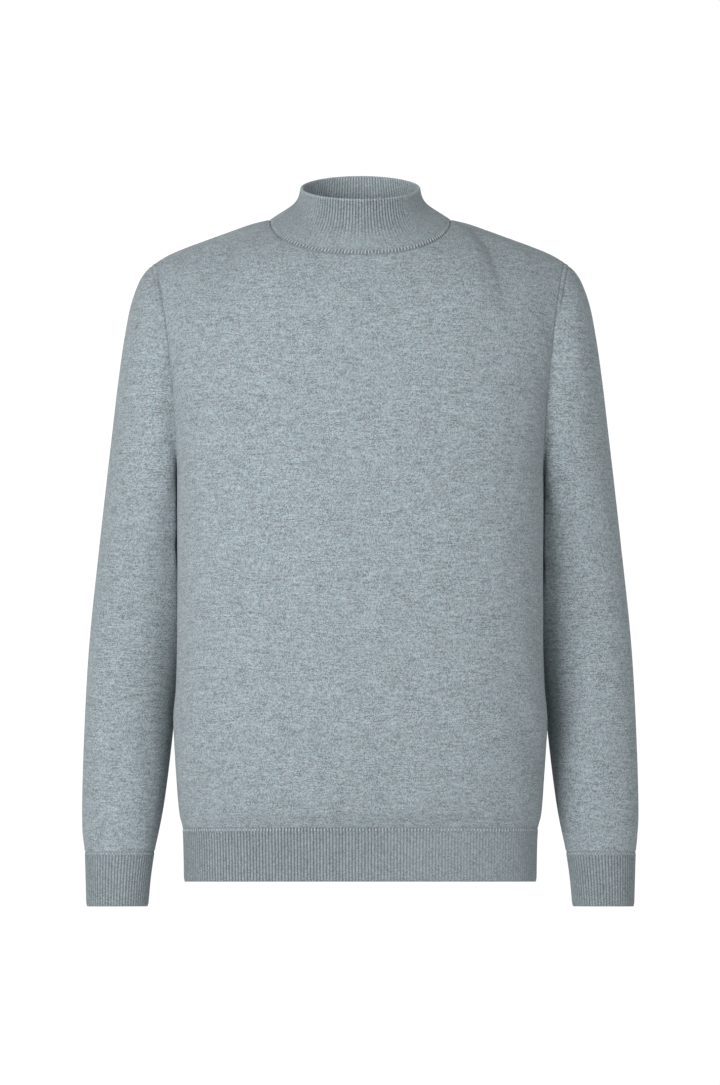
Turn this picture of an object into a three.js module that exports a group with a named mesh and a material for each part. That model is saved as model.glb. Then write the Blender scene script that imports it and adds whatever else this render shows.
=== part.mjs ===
// A fine knitted sweater with a short stand-up rib collar, long set-in sleeves and rib trims, in the
// hollow, filled-out form that it takes when it is worn.
// Millimetres. X runs to the viewer's right, Y from the front of the garment to its back, Z up.
// The origin lies midway between the two side neck points, where the shoulders carry the garment.
// Every piece is a wall made from a grid of points on its outer face, moved in by the wall's thickness.

import * as THREE from 'three';

// Thickness of each cloth, and the space left at every seam
const JERSEY_WALL = 1.6;
const RIB_WALL = 2.0;
const COLLAR_WALL = 3.0;
const SEAM_GAP = 0.3;
// Cosine of the sharpest angle between two pieces at which their edges are still mitred
const SHARPEST_MITRE = 0.2;

// Heights that divide the body
const HEM_BOTTOM = -694.4;
const RIB_TOP = -639.5;
const UNDERARM = -268;
const CHEST = -150;

// Sections of the body below the chest line. halfWidth is where front and back meet, at the depth midY;
// frontY and backY are the centre front and the centre back.
const BODY = [
  { z: HEM_BOTTOM, halfWidth: 184.8, midY: -2, frontY: -88, backY: 82 },
  { z: -668, halfWidth: 185.2, midY: -2, frontY: -90, backY: 84 },
  { z: RIB_TOP, halfWidth: 186.2, midY: -3, frontY: -95, backY: 88 },
  { z: -626, halfWidth: 189.4, midY: -4, frontY: -103, backY: 94 },
  { z: -612, halfWidth: 191.0, midY: -6, frontY: -108, backY: 98 },
  { z: -589, halfWidth: 192.6, midY: -8, frontY: -113, backY: 102 },
  { z: -560, halfWidth: 194.4, midY: -10, frontY: -117, backY: 104 },
  { z: -525, halfWidth: 195.8, midY: -12, frontY: -120, backY: 106 },
  { z: -490, halfWidth: 193.0, midY: -14, frontY: -122, backY: 107 },
  { z: -440, halfWidth: 191.4, midY: -15, frontY: -124, backY: 109 },
  { z: -380, halfWidth: 191.2, midY: -15, frontY: -126, backY: 113 },
  { z: -330, halfWidth: 191.4, midY: -14, frontY: -127, backY: 118 },
  { z: UNDERARM, halfWidth: 191.4, midY: -12, frontY: -125, backY: 124 },
  { z: -235, halfWidth: 193.8, midY: -10, frontY: -122, backY: 127 },
  { z: -205, halfWidth: 197.6, midY: -7, frontY: -118, backY: 128 },
  { z: -175, halfWidth: 202.2, midY: -4, frontY: -113, backY: 127 },
  { z: CHEST, halfWidth: 207.4, midY: 0, frontY: -108, backY: 125 },
];
// How square a section is: 2 is an ellipse
const FRONT_SQUARENESS = 2.7;
const BACK_SQUARENESS = 2.25;
// The hem line hangs lower at the back: fall for each millimetre of depth, faded out above the waist
const HEM_SLOPE = 0.079;
const HEM_SLOPE_START = -450;

// Side view of the armhole seam, from the underarm up to the chest line
const ARMHOLE = [
  { z: UNDERARM, frontY: -12, backY: -12 },
  { z: -257, frontY: -30, backY: 8 },
  { z: -238, frontY: -40, backY: 22 },
  { z: -208, frontY: -46, backY: 36 },
  { z: -178, frontY: -48.5, backY: 44 },
  { z: CHEST, frontY: -49, backY: 49 },
];

// Top edge of the shoulders
const SHOULDER = [
  { x: 94.5, y: 5, z: 0.5 },
  { x: 109.5, y: 7, z: -2.8 },
  { x: 134, y: 10, z: -11 },
  { x: 157.5, y: 12, z: -19.4 },
  { x: 180.6, y: 13, z: -27.8 },
  { x: 201.6, y: 13, z: -36.6 },
  { x: 215.5, y: 12, z: -45 },
];

// Neck seam: an oval of two halves that meet at the side neck points. It leaves those points level, and
// dip says how much sooner it moves in depth than in height.
const NECK = {
  halfWidth: 94.5,
  midY: 5,
  frontY: -75,
  frontZ: -41.4,
  backY: 82,
  backZ: -3,
  squareness: 2.3,
  dip: 1.5,
};
// Fold at the top of the collar: a tilted ellipse, and how far the fold swells above it
const RIM = { halfWidth: 63, midY: 3, halfDepth: 69, midZ: 33, rise: 0.255 };
const COLLAR_CROWN = 1.2;
// Handles of the collar's profile, as shares of its fall and of its spread between rim and seam
const COLLAR_PROFILE = { rimFall: 0.56, rimSpread: 0.08, seamRise: 0.47, seamSpread: 0.7 };

// Directions in which the panels reach their top edges, seen on the right half: out is away from the
// centre, over towards the other panel, up upwards. pull is how strongly they bend to it.
const ARRIVAL = {
  front: { centre: { out: 0, over: 0.5, up: 0.86 }, neckSide: { out: -0.75, over: 0.6, up: 0.28 } },
  back: { centre: { out: 0, over: 0.6, up: 0.8 }, neckSide: { out: -0.75, over: 0.6, up: 0.28 } },
  tip: { out: 0.1, over: 1, up: -0.04 },
};
const CHEST_PULL = 1.1;
// Height below the chest line at which the panel's direction there is taken
const CHEST_STEP = 10;
const NECK_PULL = 1.0;
const SHOULDER_PULL = 0.85;

// Rings of the right sleeve below the armhole. out and in are the outermost and innermost points of a
// ring, frontY and backY its reach, lean how far it slants in towards the back for each millimetre and
// fall how far it slants down towards the back.
const SLEEVE = [
  { outX: 215.5, outZ: -45, inX: 192, inZ: -268, frontY: -49, backY: 49, lean: 0, fall: 0 },
  { outX: 224.0, outZ: -52, inX: 192.3, inZ: -270.5, frontY: -50.3, backY: 52, lean: 0.01, fall: 0 },
  { outX: 230.6, outZ: -61, inX: 191, inZ: -274, frontY: -51.6, backY: 55, lean: 0.02, fall: 0 },
  { outX: 240.9, outZ: -88, inX: 189, inZ: -284, frontY: -52.5, backY: 62, lean: 0.04, fall: 0 },
  { outX: 248.0, outZ: -125, inX: 185, inZ: -297, frontY: -49.5, backY: 70, lean: 0.06, fall: 0 },
  { outX: 254.6, outZ: -172, inX: 180, inZ: -311, frontY: -42.5, backY: 79, lean: 0.08, fall: 0 },
  { outX: 260.6, outZ: -222, inX: 174, inZ: -328, frontY: -34, backY: 87, lean: 0.1, fall: 0 },
  { outX: 266.6, outZ: -272, inX: 169, inZ: -348, frontY: -27.5, backY: 93, lean: 0.12, fall: 0 },
  { outX: 272.1, outZ: -318, inX: 167, inZ: -370, frontY: -22, backY: 95.5, lean: 0.12, fall: 0 },
  { outX: 277.1, outZ: -362, inX: 168, inZ: -395, frontY: -19, backY: 93.5, lean: 0.12, fall: 0 },
  { outX: 281.8, outZ: -405, inX: 177, inZ: -426, frontY: -17, backY: 88, lean: 0.12, fall: 0 },
  { outX: 286.0, outZ: -450, inX: 186, inZ: -464, frontY: -17, backY: 79, lean: 0.1, fall: 0 },
  { outX: 289.1, outZ: -496, inX: 194.2, inZ: -505, frontY: -18, backY: 72, lean: 0.06, fall: 0.01 },
  { outX: 291.1, outZ: -540, inX: 198.2, inZ: -545, frontY: -21, backY: 65, lean: 0.02, fall: 0.03 },
  { outX: 292.3, outZ: -580, inX: 202.4, inZ: -583, frontY: -25, backY: 57, lean: 0, fall: 0.05 },
  { outX: 292.7, outZ: -614, inX: 206.8, inZ: -616, frontY: -29, backY: 50, lean: 0, fall: 0.07 },
  { outX: 292.2, outZ: -640, inX: 211.4, inZ: -641, frontY: -31, backY: 44, lean: 0, fall: 0.08 },
  { outX: 289.2, outZ: -664, inX: 216.4, inZ: -664, frontY: -33, backY: 38, lean: 0, fall: 0.08 },
];
const CUFF = [
  { outX: 289.2, outZ: -664, inX: 216.4, inZ: -664, frontY: -33, backY: 38, lean: 0, fall: 0.08 },
  { outX: 288.4, outZ: -692, inX: 220.2, inZ: -692, frontY: -32, backY: 36, lean: 0, fall: 0.08 },
  { outX: 287.6, outZ: -720.6, inX: 222.8, inZ: -720.6, frontY: -31, backY: 34, lean: 0, fall: 0.08 },
];
const SLEEVE_SQUARENESS = 2.15;
// Rings over which the armhole's own shape passes into the plain rings
const CAP_RINGS = 6;
// Air between a sleeve and the side of the body, and how softly the sleeve gives way to it
const SLEEVE_CLEARANCE = 1.0;
const SLEEVE_SOFTNESS = 2.6;

// Largest soft folds of the panels: centre, turn from upright in degrees, half length, half width, depth
const PANEL_FOLDS = [
  { piece: 'front_panel', x: 168, z: -553, turn: -26, length: 72, width: 13, depth: 3.2 },
  { piece: 'front_panel', x: -171, z: -585, turn: 20, length: 45, width: 12, depth: 1.6 },
  { piece: 'back_panel', x: 60, z: -452, turn: 82, length: 90, width: 16, depth: 1.5 },
  { piece: 'back_panel', x: -75, z: -505, turn: 98, length: 80, width: 15, depth: 1.3 },
  { piece: 'back_panel', x: -150, z: -560, turn: 24, length: 60, width: 14, depth: 1.4 },
];
// Largest soft folds of the sleeves: place round the sleeve in degrees (0 outside, 90 front, 180 inside)
const SLEEVE_FOLDS = [
  { piece: 'sleeve_right', round: 142, z: -371, turn: 62, length: 32, width: 12, depth: 2.4 },
  { piece: 'sleeve_left', round: 142, z: -349, turn: 66, length: 34, width: 14, depth: 2.0 },
  { piece: 'sleeve_right', round: 250, z: -390, turn: 76, length: 40, width: 12, depth: 3.5 },
  { piece: 'sleeve_left', round: 250, z: -384, turn: 80, length: 36, width: 14, depth: 2.0 },
];
const SLEEVE_RADIUS = 48;

// How finely each piece is divided
const NECK_COLUMNS = 7;
const SHOULDER_COLUMNS = 4;
const PANEL_ROWS = [
  RIB_TOP, -624, -606, -575, -525, -475, -420, -365, -315, UNDERARM, -257, -238, -208, -178, CHEST,
];
const YOKE_ROWS = 7;
const HEM_ROWS = [HEM_BOTTOM, -668, RIB_TOP];
const COLLAR_ROWS = 6;

// Points that agree to this many parts of a millimetre lie on one spot of a seam
const SPOT_PARTS = 100;

const JERSEY = { color: 0x9aa5a9, roughness: 0.92, metalness: 0 };
const RIB = { color: 0x86939a, roughness: 0.94, metalness: 0 };

// A smooth curve through one column of a table, which never swings past the rows on either side
function column(table, key, name) {
  const rows = [...table].sort((a, b) => a[key] - b[key]);
  const at = rows.map((row) => row[key]);
  const value = rows.map((row) => row[name]);
  const last = rows.length - 1;
  const step = at.slice(1).map((right, i) => right - at[i]);
  const slope = step.map((width, i) => (value[i + 1] - value[i]) / width);
  const tangent = value.map((_, i) => {
    if (i === 0) return slope[0];
    if (i === last) return slope[last - 1];
    if (slope[i - 1] * slope[i] <= 0) return 0;
    const before = 2 * step[i] + step[i - 1];
    const after = step[i] + 2 * step[i - 1];
    return (before + after) / (before / slope[i - 1] + after / slope[i]);
  });
  return (place) => {
    const clamped = Math.min(Math.max(place, at[0]), at[last]);
    let i = 0;
    while (i < last - 1 && clamped > at[i + 1]) i += 1;
    const t = (clamped - at[i]) / step[i];
    return hermite(value[i], tangent[i] * step[i], value[i + 1], tangent[i + 1] * step[i], t);
  };
}

function hermite(from, fromTangent, to, toTangent, t) {
  const fromShare = (1 + 2 * t) * (1 - t) ** 2;
  const toShare = t * t * (3 - 2 * t);
  return from * fromShare + fromTangent * t * (1 - t) ** 2 + to * toShare + toTangent * t * t * (t - 1);
}

function hermiteVector(from, fromTangent, to, toTangent, t) {
  return new THREE.Vector3(
    hermite(from.x, fromTangent.x, to.x, toTangent.x, t),
    hermite(from.y, fromTangent.y, to.y, toTangent.y, t),
    hermite(from.z, fromTangent.z, to.z, toTangent.z, t),
  );
}

function smoothStep(share) {
  const t = Math.min(Math.max(share, 0), 1);
  return t * t * (3 - 2 * t);
}

// The other coordinate of a superellipse of half size 1 at the coordinate along
function roundness(along, squareness) {
  return Math.max(1 - Math.abs(along) ** squareness, 0) ** (1 / squareness);
}

const bodyWidth = column(BODY, 'z', 'halfWidth');
const bodyMiddle = column(BODY, 'z', 'midY');
const bodySide = {
  front: {
    reach: column(BODY, 'z', 'frontY'),
    armhole: column(ARMHOLE, 'z', 'frontY'),
    squareness: FRONT_SQUARENESS,
  },
  back: {
    reach: column(BODY, 'z', 'backY'),
    armhole: column(ARMHOLE, 'z', 'backY'),
    squareness: BACK_SQUARENESS,
  },
};
const shoulderY = column(SHOULDER, 'x', 'y');
const shoulderZ = column(SHOULDER, 'x', 'z');

// A point of the body below the chest line. across runs from -1 at the left edge of the panel to 1.
function bodyPoint(side, height, across) {
  const { reach, armhole, squareness } = bodySide[side];
  const middle = bodyMiddle(height);
  const depth = reach(height) - middle;
  const edgeShare = height > UNDERARM ? (armhole(height) - middle) / depth : 0;
  const edgeAngle = Math.asin(roundness(edgeShare, squareness));
  const sine = Math.sin(across * edgeAngle);
  const y = middle + depth * roundness(sine, squareness);
  const slope = HEM_SLOPE * smoothStep((HEM_SLOPE_START - height) / (HEM_SLOPE_START - RIB_TOP));
  return new THREE.Vector3(bodyWidth(height) * sine, y, height - y * slope);
}

// The neck seam: angle is 0 at the centre of the side and a quarter turn at a side neck point
function neckPoint(side, angle) {
  const y = side === 'front' ? NECK.frontY : NECK.backY;
  const z = side === 'front' ? NECK.frontZ : NECK.backZ;
  const fall = roundness(Math.sin(angle), NECK.squareness);
  const depth = fall ** (1 / NECK.dip);
  const sideZ = SHOULDER[0].z;
  return new THREE.Vector3(
    NECK.halfWidth * Math.sin(angle),
    NECK.midY + (y - NECK.midY) * depth,
    sideZ + (z - sideZ) * fall,
  );
}

function rimPoint(side, angle) {
  const y = RIM.halfDepth * Math.cos(angle) * (side === 'front' ? -1 : 1);
  return new THREE.Vector3(RIM.halfWidth * Math.sin(angle), RIM.midY + y, RIM.midZ + y * RIM.rise);
}

// The top edge of a panel: number counts its columns from the centre, negative to the left
function topEdge(side, number) {
  const steps = Math.abs(number);
  if (steps <= NECK_COLUMNS) return neckPoint(side, (number / NECK_COLUMNS) * (Math.PI / 2));
  const tip = SHOULDER.at(-1).x;
  const x = NECK.halfWidth + ((tip - NECK.halfWidth) * (steps - NECK_COLUMNS)) / SHOULDER_COLUMNS;
  return new THREE.Vector3(Math.sign(number) * x, shoulderY(x), shoulderZ(x));
}

function direction(side, number, { out, over, up }) {
  return new THREE.Vector3(Math.sign(number) * out, side === 'front' ? over : -over, up);
}

// A point above the chest line: a bend from the chest to the top edge of the same column
function yokePoint(side, number, rise) {
  const across = number / (NECK_COLUMNS + SHOULDER_COLUMNS);
  const chest = bodyPoint(side, CHEST, across);
  const top = topEdge(side, number);
  const chord = top.distanceTo(chest);
  const below = bodyPoint(side, CHEST - CHEST_STEP, across);
  const leave = chest.clone().sub(below).setLength(chord * CHEST_PULL);
  const sideways = Math.min(Math.abs(number) / NECK_COLUMNS, 1);
  const outwards = Math.max(Math.abs(number) - NECK_COLUMNS, 0) / SHOULDER_COLUMNS;
  const pull = NECK_PULL + (SHOULDER_PULL - NECK_PULL) * outwards;
  const neck = direction(side, number, ARRIVAL[side].centre)
    .lerp(direction(side, number, ARRIVAL[side].neckSide), smoothStep(sideways));
  const tip = direction(side, number, ARRIVAL.tip);
  const arrive = neck.lerp(tip, smoothStep(outwards)).setLength(chord * pull);
  return hermiteVector(chest, leave, top, arrive, rise);
}

// A grid of cells. Each cell has its place on the outer face and its normal. A cell on an edge also has
// its direction into the piece and its shift away from the seam.
function makeGrid(rowCount, columnCount, wraps, place) {
  const cells = [];
  for (let i = 0; i < rowCount; i += 1) {
    const row = [];
    for (let j = 0; j < columnCount; j += 1) {
      const [normal, inward, shift] = [0, 1, 2].map(() => new THREE.Vector3());
      row.push({ point: place(i, j), normal, inward, shift });
    }
    cells.push(row);
  }
  const grid = { cells, wraps };
  findNormals(grid);
  return grid;
}

function findNormals({ cells, wraps }) {
  const lastRow = cells.length - 1;
  const width = cells[0].length;
  cells.forEach((row, i) => {
    row.forEach((cell, j) => {
      const before = wraps ? row[(j + width - 1) % width] : row[Math.max(j - 1, 0)];
      const after = wraps ? row[(j + 1) % width] : row[Math.min(j + 1, width - 1)];
      const below = cells[Math.max(i - 1, 0)][j];
      const above = cells[Math.min(i + 1, lastRow)][j];
      const alongRow = after.point.clone().sub(before.point);
      const alongColumn = above.point.clone().sub(below.point);
      cell.normal.crossVectors(alongRow, alongColumn).normalize();
    });
  });
}

// A fold's reach at a spot that lies dx and dz from its centre
function foldDepth(fold, dx, dz) {
  const turn = THREE.MathUtils.degToRad(fold.turn);
  const along = dz * Math.cos(turn) + dx * Math.sin(turn);
  const across = dx * Math.cos(turn) - dz * Math.sin(turn);
  return fold.depth * Math.exp(-((along / fold.length) ** 2) - (across / fold.width) ** 2);
}

// Presses folds into a grid, leaving its edges where they are
function pressFolds(grid, depthAt) {
  const lastRow = grid.cells.length - 1;
  grid.cells.forEach((row, i) => {
    row.forEach((cell, j) => {
      const onEdge = i === 0 || i === lastRow || (!grid.wraps && (j === 0 || j === row.length - 1));
      if (!onEdge) cell.point.addScaledVector(cell.normal, -depthAt(cell.point, i, j));
    });
  });
  findNormals(grid);
}

// The front runs from left to right and the back from right to left, so both face outwards
function panelNumber(side, j) {
  const number = j - NECK_COLUMNS - SHOULDER_COLUMNS;
  return side === 'front' ? number : -number;
}

const PANEL_WIDTH = 2 * (NECK_COLUMNS + SHOULDER_COLUMNS) + 1;

function makePanel(side) {
  const straightRows = PANEL_ROWS.length;
  const grid = makeGrid(straightRows + YOKE_ROWS, PANEL_WIDTH, false, (i, j) => {
    const number = panelNumber(side, j);
    const across = number / (NECK_COLUMNS + SHOULDER_COLUMNS);
    if (i < straightRows) return bodyPoint(side, PANEL_ROWS[i], across);
    return yokePoint(side, number, (i + 1 - straightRows) / YOKE_ROWS);
  });
  const folds = PANEL_FOLDS.filter((fold) => fold.piece === `${side}_panel`);
  const depthAt = ({ x, z }) => folds.reduce((sum, fold) => sum + foldDepth(fold, x - fold.x, z - fold.z), 0);
  pressFolds(grid, depthAt);
  return grid;
}

function makeHemRib(side) {
  return makeGrid(HEM_ROWS.length, PANEL_WIDTH, false, (i, j) =>
    bodyPoint(side, HEM_ROWS[i], panelNumber(side, j) / (NECK_COLUMNS + SHOULDER_COLUMNS)));
}

// The armhole's points on the right side: down the front from the shoulder tip, then up the back
function armholeLoop(front, back) {
  const underarm = PANEL_ROWS.indexOf(UNDERARM);
  const frontEdge = front.cells.slice(underarm).map((row) => row.at(-1).point);
  const backEdge = back.cells.slice(underarm + 1, -1).map((row) => row[0].point);
  return [...frontEdge.reverse(), ...backEdge];
}

// Half width of the body at a height and depth, 0 where the body doesn't reach
function bodyHalfWidth(height, y) {
  const middle = bodyMiddle(height);
  const { reach, squareness } = y < middle ? bodySide.front : bodySide.back;
  const share = Math.min(Math.abs((y - middle) / (reach(height) - middle)), 1);
  return bodyWidth(height) * roundness(share, squareness);
}

// A sleeve ring's point: round is 0 outside, a quarter turn at the front, a half turn inside
function ringPoint(ring, round) {
  const power = 2 / SLEEVE_SQUARENESS;
  const cosine = Math.cos(round);
  const sine = Math.sin(round);
  const outwards = Math.sign(cosine) * Math.abs(cosine) ** power;
  const forwards = Math.sign(sine) * Math.abs(sine) ** power;
  const halfDepth = (ring.backY - ring.frontY) / 2;
  const x = (ring.outX + ring.inX) / 2 + ((ring.outX - ring.inX) / 2) * outwards;
  const z = (ring.outZ + ring.inZ) / 2 + ((ring.outZ - ring.inZ) / 2) * outwards;
  const forward = halfDepth * forwards;
  const middle = (ring.frontY + ring.backY) / 2;
  return new THREE.Vector3(x + ring.lean * forward, middle - forward, z + ring.fall * forward);
}

// Keeps a sleeve's point just outside the side of the body, giving way softly
function clearOfBody(point) {
  if (point.z > UNDERARM) return point;
  const limit = bodyHalfWidth(point.z, point.y) + SLEEVE_CLEARANCE;
  const excess = point.x - limit;
  point.x = limit + (excess + Math.hypot(excess, SLEEVE_SOFTNESS)) / 2;
  return point;
}

function makeSleeve(loop, isRight) {
  const around = loop.length;
  const full = 2 * Math.PI;
  const name = isRight ? 'sleeve_right' : 'sleeve_left';
  const step = (j) => (isRight ? j : (around - j) % around);
  const grid = makeGrid(SLEEVE.length, around, true, (i, j) => {
    const round = (full * step(j)) / around;
    const fade = 1 - smoothStep(i / CAP_RINGS);
    const offset = loop[step(j)].clone().sub(ringPoint(SLEEVE[0], round));
    const point = ringPoint(SLEEVE[i], round).addScaledVector(offset, fade);
    if (i > 0) clearOfBody(point);
    if (!isRight) point.x *= -1;
    return point;
  });
  const folds = SLEEVE_FOLDS.filter((fold) => fold.piece === name);
  pressFolds(grid, (point, i, j) => folds.reduce((sum, fold) => {
    const turn = ((full * step(j)) / around - THREE.MathUtils.degToRad(fold.round)) * SLEEVE_RADIUS;
    return sum + foldDepth(fold, turn, point.z - fold.z);
  }, 0));
  return grid;
}

function makeCuff(around, isRight) {
  const step = (j) => (isRight ? j : (around - j) % around);
  return makeGrid(CUFF.length, around, true, (i, j) => {
    const point = ringPoint(CUFF[i], (2 * Math.PI * step(j)) / around);
    if (i === 0) clearOfBody(point);
    if (!isRight) point.x *= -1;
    return point;
  });
}

// The collar runs round from the left side neck point along the front, then back along the back
function makeCollar() {
  const half = 2 * NECK_COLUMNS;
  return makeGrid(COLLAR_ROWS + 1, 2 * half, true, (i, j) => {
    const side = j < half ? 'front' : 'back';
    const number = j < half ? j - NECK_COLUMNS : NECK_COLUMNS - (j - half);
    const angle = (number / NECK_COLUMNS) * (Math.PI / 2);
    const seam = neckPoint(side, angle);
    const rim = rimPoint(side, angle);
    const fall = rim.z - seam.z;
    const seamHandle = seam.clone().lerp(rim, COLLAR_PROFILE.seamSpread);
    seamHandle.z = seam.z + fall * COLLAR_PROFILE.seamRise;
    const rimHandle = rim.clone().lerp(seam, COLLAR_PROFILE.rimSpread);
    rimHandle.z = rim.z - fall * COLLAR_PROFILE.rimFall;
    return new THREE.CubicBezierCurve3(seam, seamHandle, rimHandle, rim).getPoint(i / COLLAR_ROWS);
  });
}

// Gives the cells of one edge their direction into the piece, square to the edge
function markEdge(edge, inner, wraps) {
  const last = edge.length - 1;
  edge.forEach((cell, k) => {
    const before = wraps ? edge[(k + last) % edge.length] : edge[Math.max(k - 1, 0)];
    const after = wraps ? edge[(k + 1) % edge.length] : edge[Math.min(k + 1, last)];
    const along = after.point.clone().sub(before.point);
    const square = new THREE.Vector3().crossVectors(cell.normal, along).normalize();
    const towards = inner[k].point.clone().sub(cell.point);
    cell.inward.addScaledVector(square, Math.sign(square.dot(towards)));
  });
}

function markEdges({ cells, wraps }) {
  markEdge(cells[0], cells[1], wraps);
  markEdge(cells.at(-1), cells.at(-2), wraps);
  if (wraps) return;
  markEdge(cells.map((row) => row[0]), cells.map((row) => row[1]), false);
  markEdge(cells.map((row) => row.at(-1)), cells.map((row) => row.at(-2)), false);
}

const sumOf = (vectors) => vectors.reduce((sum, vector) => sum.add(vector), new THREE.Vector3());

// Cells of different pieces on one spot of a seam share the mean of their normals, unless the crease
// there is sharp, and each is moved half a gap away from the others.
function partSeam(group) {
  const normals = group.map((cell) => cell.normal.clone());
  const inwards = group.map((cell) => cell.inward.clone().normalize());
  group.forEach((cell, k) => {
    const near = normals.filter((normal) => normal.dot(normals[k]) > SHARPEST_MITRE);
    cell.normal.copy(sumOf(near)).normalize();
    const others = inwards.filter((_, other) => other !== k);
    const away = inwards[k].clone().addScaledVector(sumOf(others), -1 / others.length);
    cell.shift.copy(away.setLength((SEAM_GAP / 2) * (others.length > 1 ? Math.SQRT2 : 1)));
  });
}

function openSeams(grids) {
  const spots = new Map();
  grids.forEach((grid) => {
    markEdges(grid);
    grid.cells.flat().forEach((cell) => {
      const key = cell.point.toArray().map((value) => Math.round(value * SPOT_PARTS)).join();
      spots.set(key, [...(spots.get(key) ?? []), cell]);
    });
  });
  spots.forEach((group) => {
    if (group.length > 1) partSeam(group);
  });
}

// A closed wall: the outer face, the inner face, and the rims between them. crown is how far the top
// rim swells past its edge where the cloth folds over.
function wallGeometry({ cells, wraps }, wall, crown) {
  const rows = cells.length;
  const width = cells[0].length;
  const outer = cells.flat().map((cell) => cell.point.clone().add(cell.shift));
  const inner = cells.flat().map((cell, k) => outer[k].clone().addScaledVector(cell.normal, -wall));
  const index = [];
  const quad = (a, b, c, d) => index.push(a, b, c, a, c, d);
  const at = (i, j) => i * width + (j % width);
  const behind = rows * width;
  const spans = wraps ? width : width - 1;
  for (let i = 0; i < rows - 1; i += 1) {
    for (let j = 0; j < spans; j += 1) {
      quad(at(i, j), at(i, j + 1), at(i + 1, j + 1), at(i + 1, j));
      quad(behind + at(i, j), behind + at(i + 1, j), behind + at(i + 1, j + 1), behind + at(i, j + 1));
    }
  }
  const ridge = cells.at(-1).map((cell, j) => {
    const edge = at(rows - 1, j);
    const swell = cell.inward.clone().setLength(crown);
    return outer[edge].clone().lerp(inner[edge], 0.5).sub(swell);
  });
  const rim = (from, to) => quad(from, behind + from, behind + to, to);
  for (let j = 0; j < spans; j += 1) {
    rim(at(0, j), at(0, j + 1));
    const [from, to] = [at(rows - 1, j + 1), at(rows - 1, j)];
    if (crown > 0) {
      const [ridgeFrom, ridgeTo] = [2 * behind + ((j + 1) % width), 2 * behind + j];
      quad(from, ridgeFrom, ridgeTo, to);
      quad(ridgeFrom, behind + from, behind + to, ridgeTo);
    } else {
      rim(from, to);
    }
  }
  for (let i = 0; i < rows - 1 && !wraps; i += 1) {
    rim(at(i + 1, 0), at(i, 0));
    rim(at(i, width - 1), at(i + 1, width - 1));
  }
  const geometry = new THREE.BufferGeometry();
  const points = crown > 0 ? [...outer, ...inner, ...ridge] : [...outer, ...inner];
  const position = points.flatMap((point) => point.toArray());
  geometry.setAttribute('position', new THREE.Float32BufferAttribute(position, 3));
  geometry.setIndex(index);
  geometry.computeVertexNormals();
  return geometry;
}

const frontPanel = makePanel('front');
const backPanel = makePanel('back');
const armhole = armholeLoop(frontPanel, backPanel);

const pieces = [
  { name: 'front_panel', grid: frontPanel, wall: JERSEY_WALL, finish: JERSEY },
  { name: 'back_panel', grid: backPanel, wall: JERSEY_WALL, finish: JERSEY },
  { name: 'hem_rib_front', grid: makeHemRib('front'), wall: RIB_WALL, finish: RIB },
  { name: 'hem_rib_back', grid: makeHemRib('back'), wall: RIB_WALL, finish: RIB },
  { name: 'sleeve_right', grid: makeSleeve(armhole, true), wall: JERSEY_WALL, finish: JERSEY },
  { name: 'sleeve_left', grid: makeSleeve(armhole, false), wall: JERSEY_WALL, finish: JERSEY },
  { name: 'cuff_right', grid: makeCuff(armhole.length, true), wall: RIB_WALL, finish: RIB },
  { name: 'cuff_left', grid: makeCuff(armhole.length, false), wall: RIB_WALL, finish: RIB },
  { name: 'collar', grid: makeCollar(), wall: COLLAR_WALL, crown: COLLAR_CROWN, finish: RIB },
];
openSeams(pieces.map((piece) => piece.grid));

const sweater = new THREE.Group();
pieces.forEach(({ name, grid, wall, crown = 0, finish }) => {
  const mesh = new THREE.Mesh(wallGeometry(grid, wall, crown), new THREE.MeshStandardMaterial(finish));
  mesh.name = name;
  sweater.add(mesh);
});

export default sweater;
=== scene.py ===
# %% [markdown]
# # A fine knitted sweater with a short rib collar
#
# The sweater hangs hollow, filled out as it is when it is worn. A knitter makes it from shaped panels of
# plain jersey and adds ribs at the neck, the wrists and the hem, all in one heather yarn. This lesson
# builds each of those pieces again as a thin closed shell, with its stitches, ribs and seams.
#
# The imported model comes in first. It fixes every size and place, so each new piece is worked out from the
# same named sizes, in millimetres, and only becomes metres when its mesh is made.

import bpy
import numpy as np
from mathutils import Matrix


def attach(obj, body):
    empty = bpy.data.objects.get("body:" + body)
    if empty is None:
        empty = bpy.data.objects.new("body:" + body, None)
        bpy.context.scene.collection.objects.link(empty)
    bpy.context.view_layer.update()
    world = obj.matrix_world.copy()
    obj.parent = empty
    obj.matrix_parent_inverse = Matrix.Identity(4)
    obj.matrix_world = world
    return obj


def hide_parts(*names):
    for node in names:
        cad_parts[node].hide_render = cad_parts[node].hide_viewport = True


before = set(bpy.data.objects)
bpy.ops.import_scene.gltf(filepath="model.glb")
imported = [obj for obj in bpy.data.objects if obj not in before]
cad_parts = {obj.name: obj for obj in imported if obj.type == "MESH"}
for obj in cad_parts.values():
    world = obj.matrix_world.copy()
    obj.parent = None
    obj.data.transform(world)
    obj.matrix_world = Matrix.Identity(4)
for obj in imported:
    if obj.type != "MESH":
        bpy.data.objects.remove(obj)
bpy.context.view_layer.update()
MM = 0.001
print("nodes", sorted(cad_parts))

# %% [markdown]
# ## Camera
#
# The picture was taken from straight ahead and from some way off, so the outline hardly shows any
# perspective. A long lens far away gives the same. The camera stands level with the middle of the
# garment, and its lens is chosen so that the frame, 1085 pixels high, covers the same height of cloth.

# %% Camera
CAMERA_X, CAMERA_DISTANCE, CAMERA_HEIGHT = -0.3, 4500, -339
PIXELS_HIGH, MM_PER_PIXEL = 1085, 1.05
FRAME_HEIGHT = PIXELS_HIGH * MM_PER_PIXEL
SENSOR, FAR_LIMIT = 36, 50000

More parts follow.
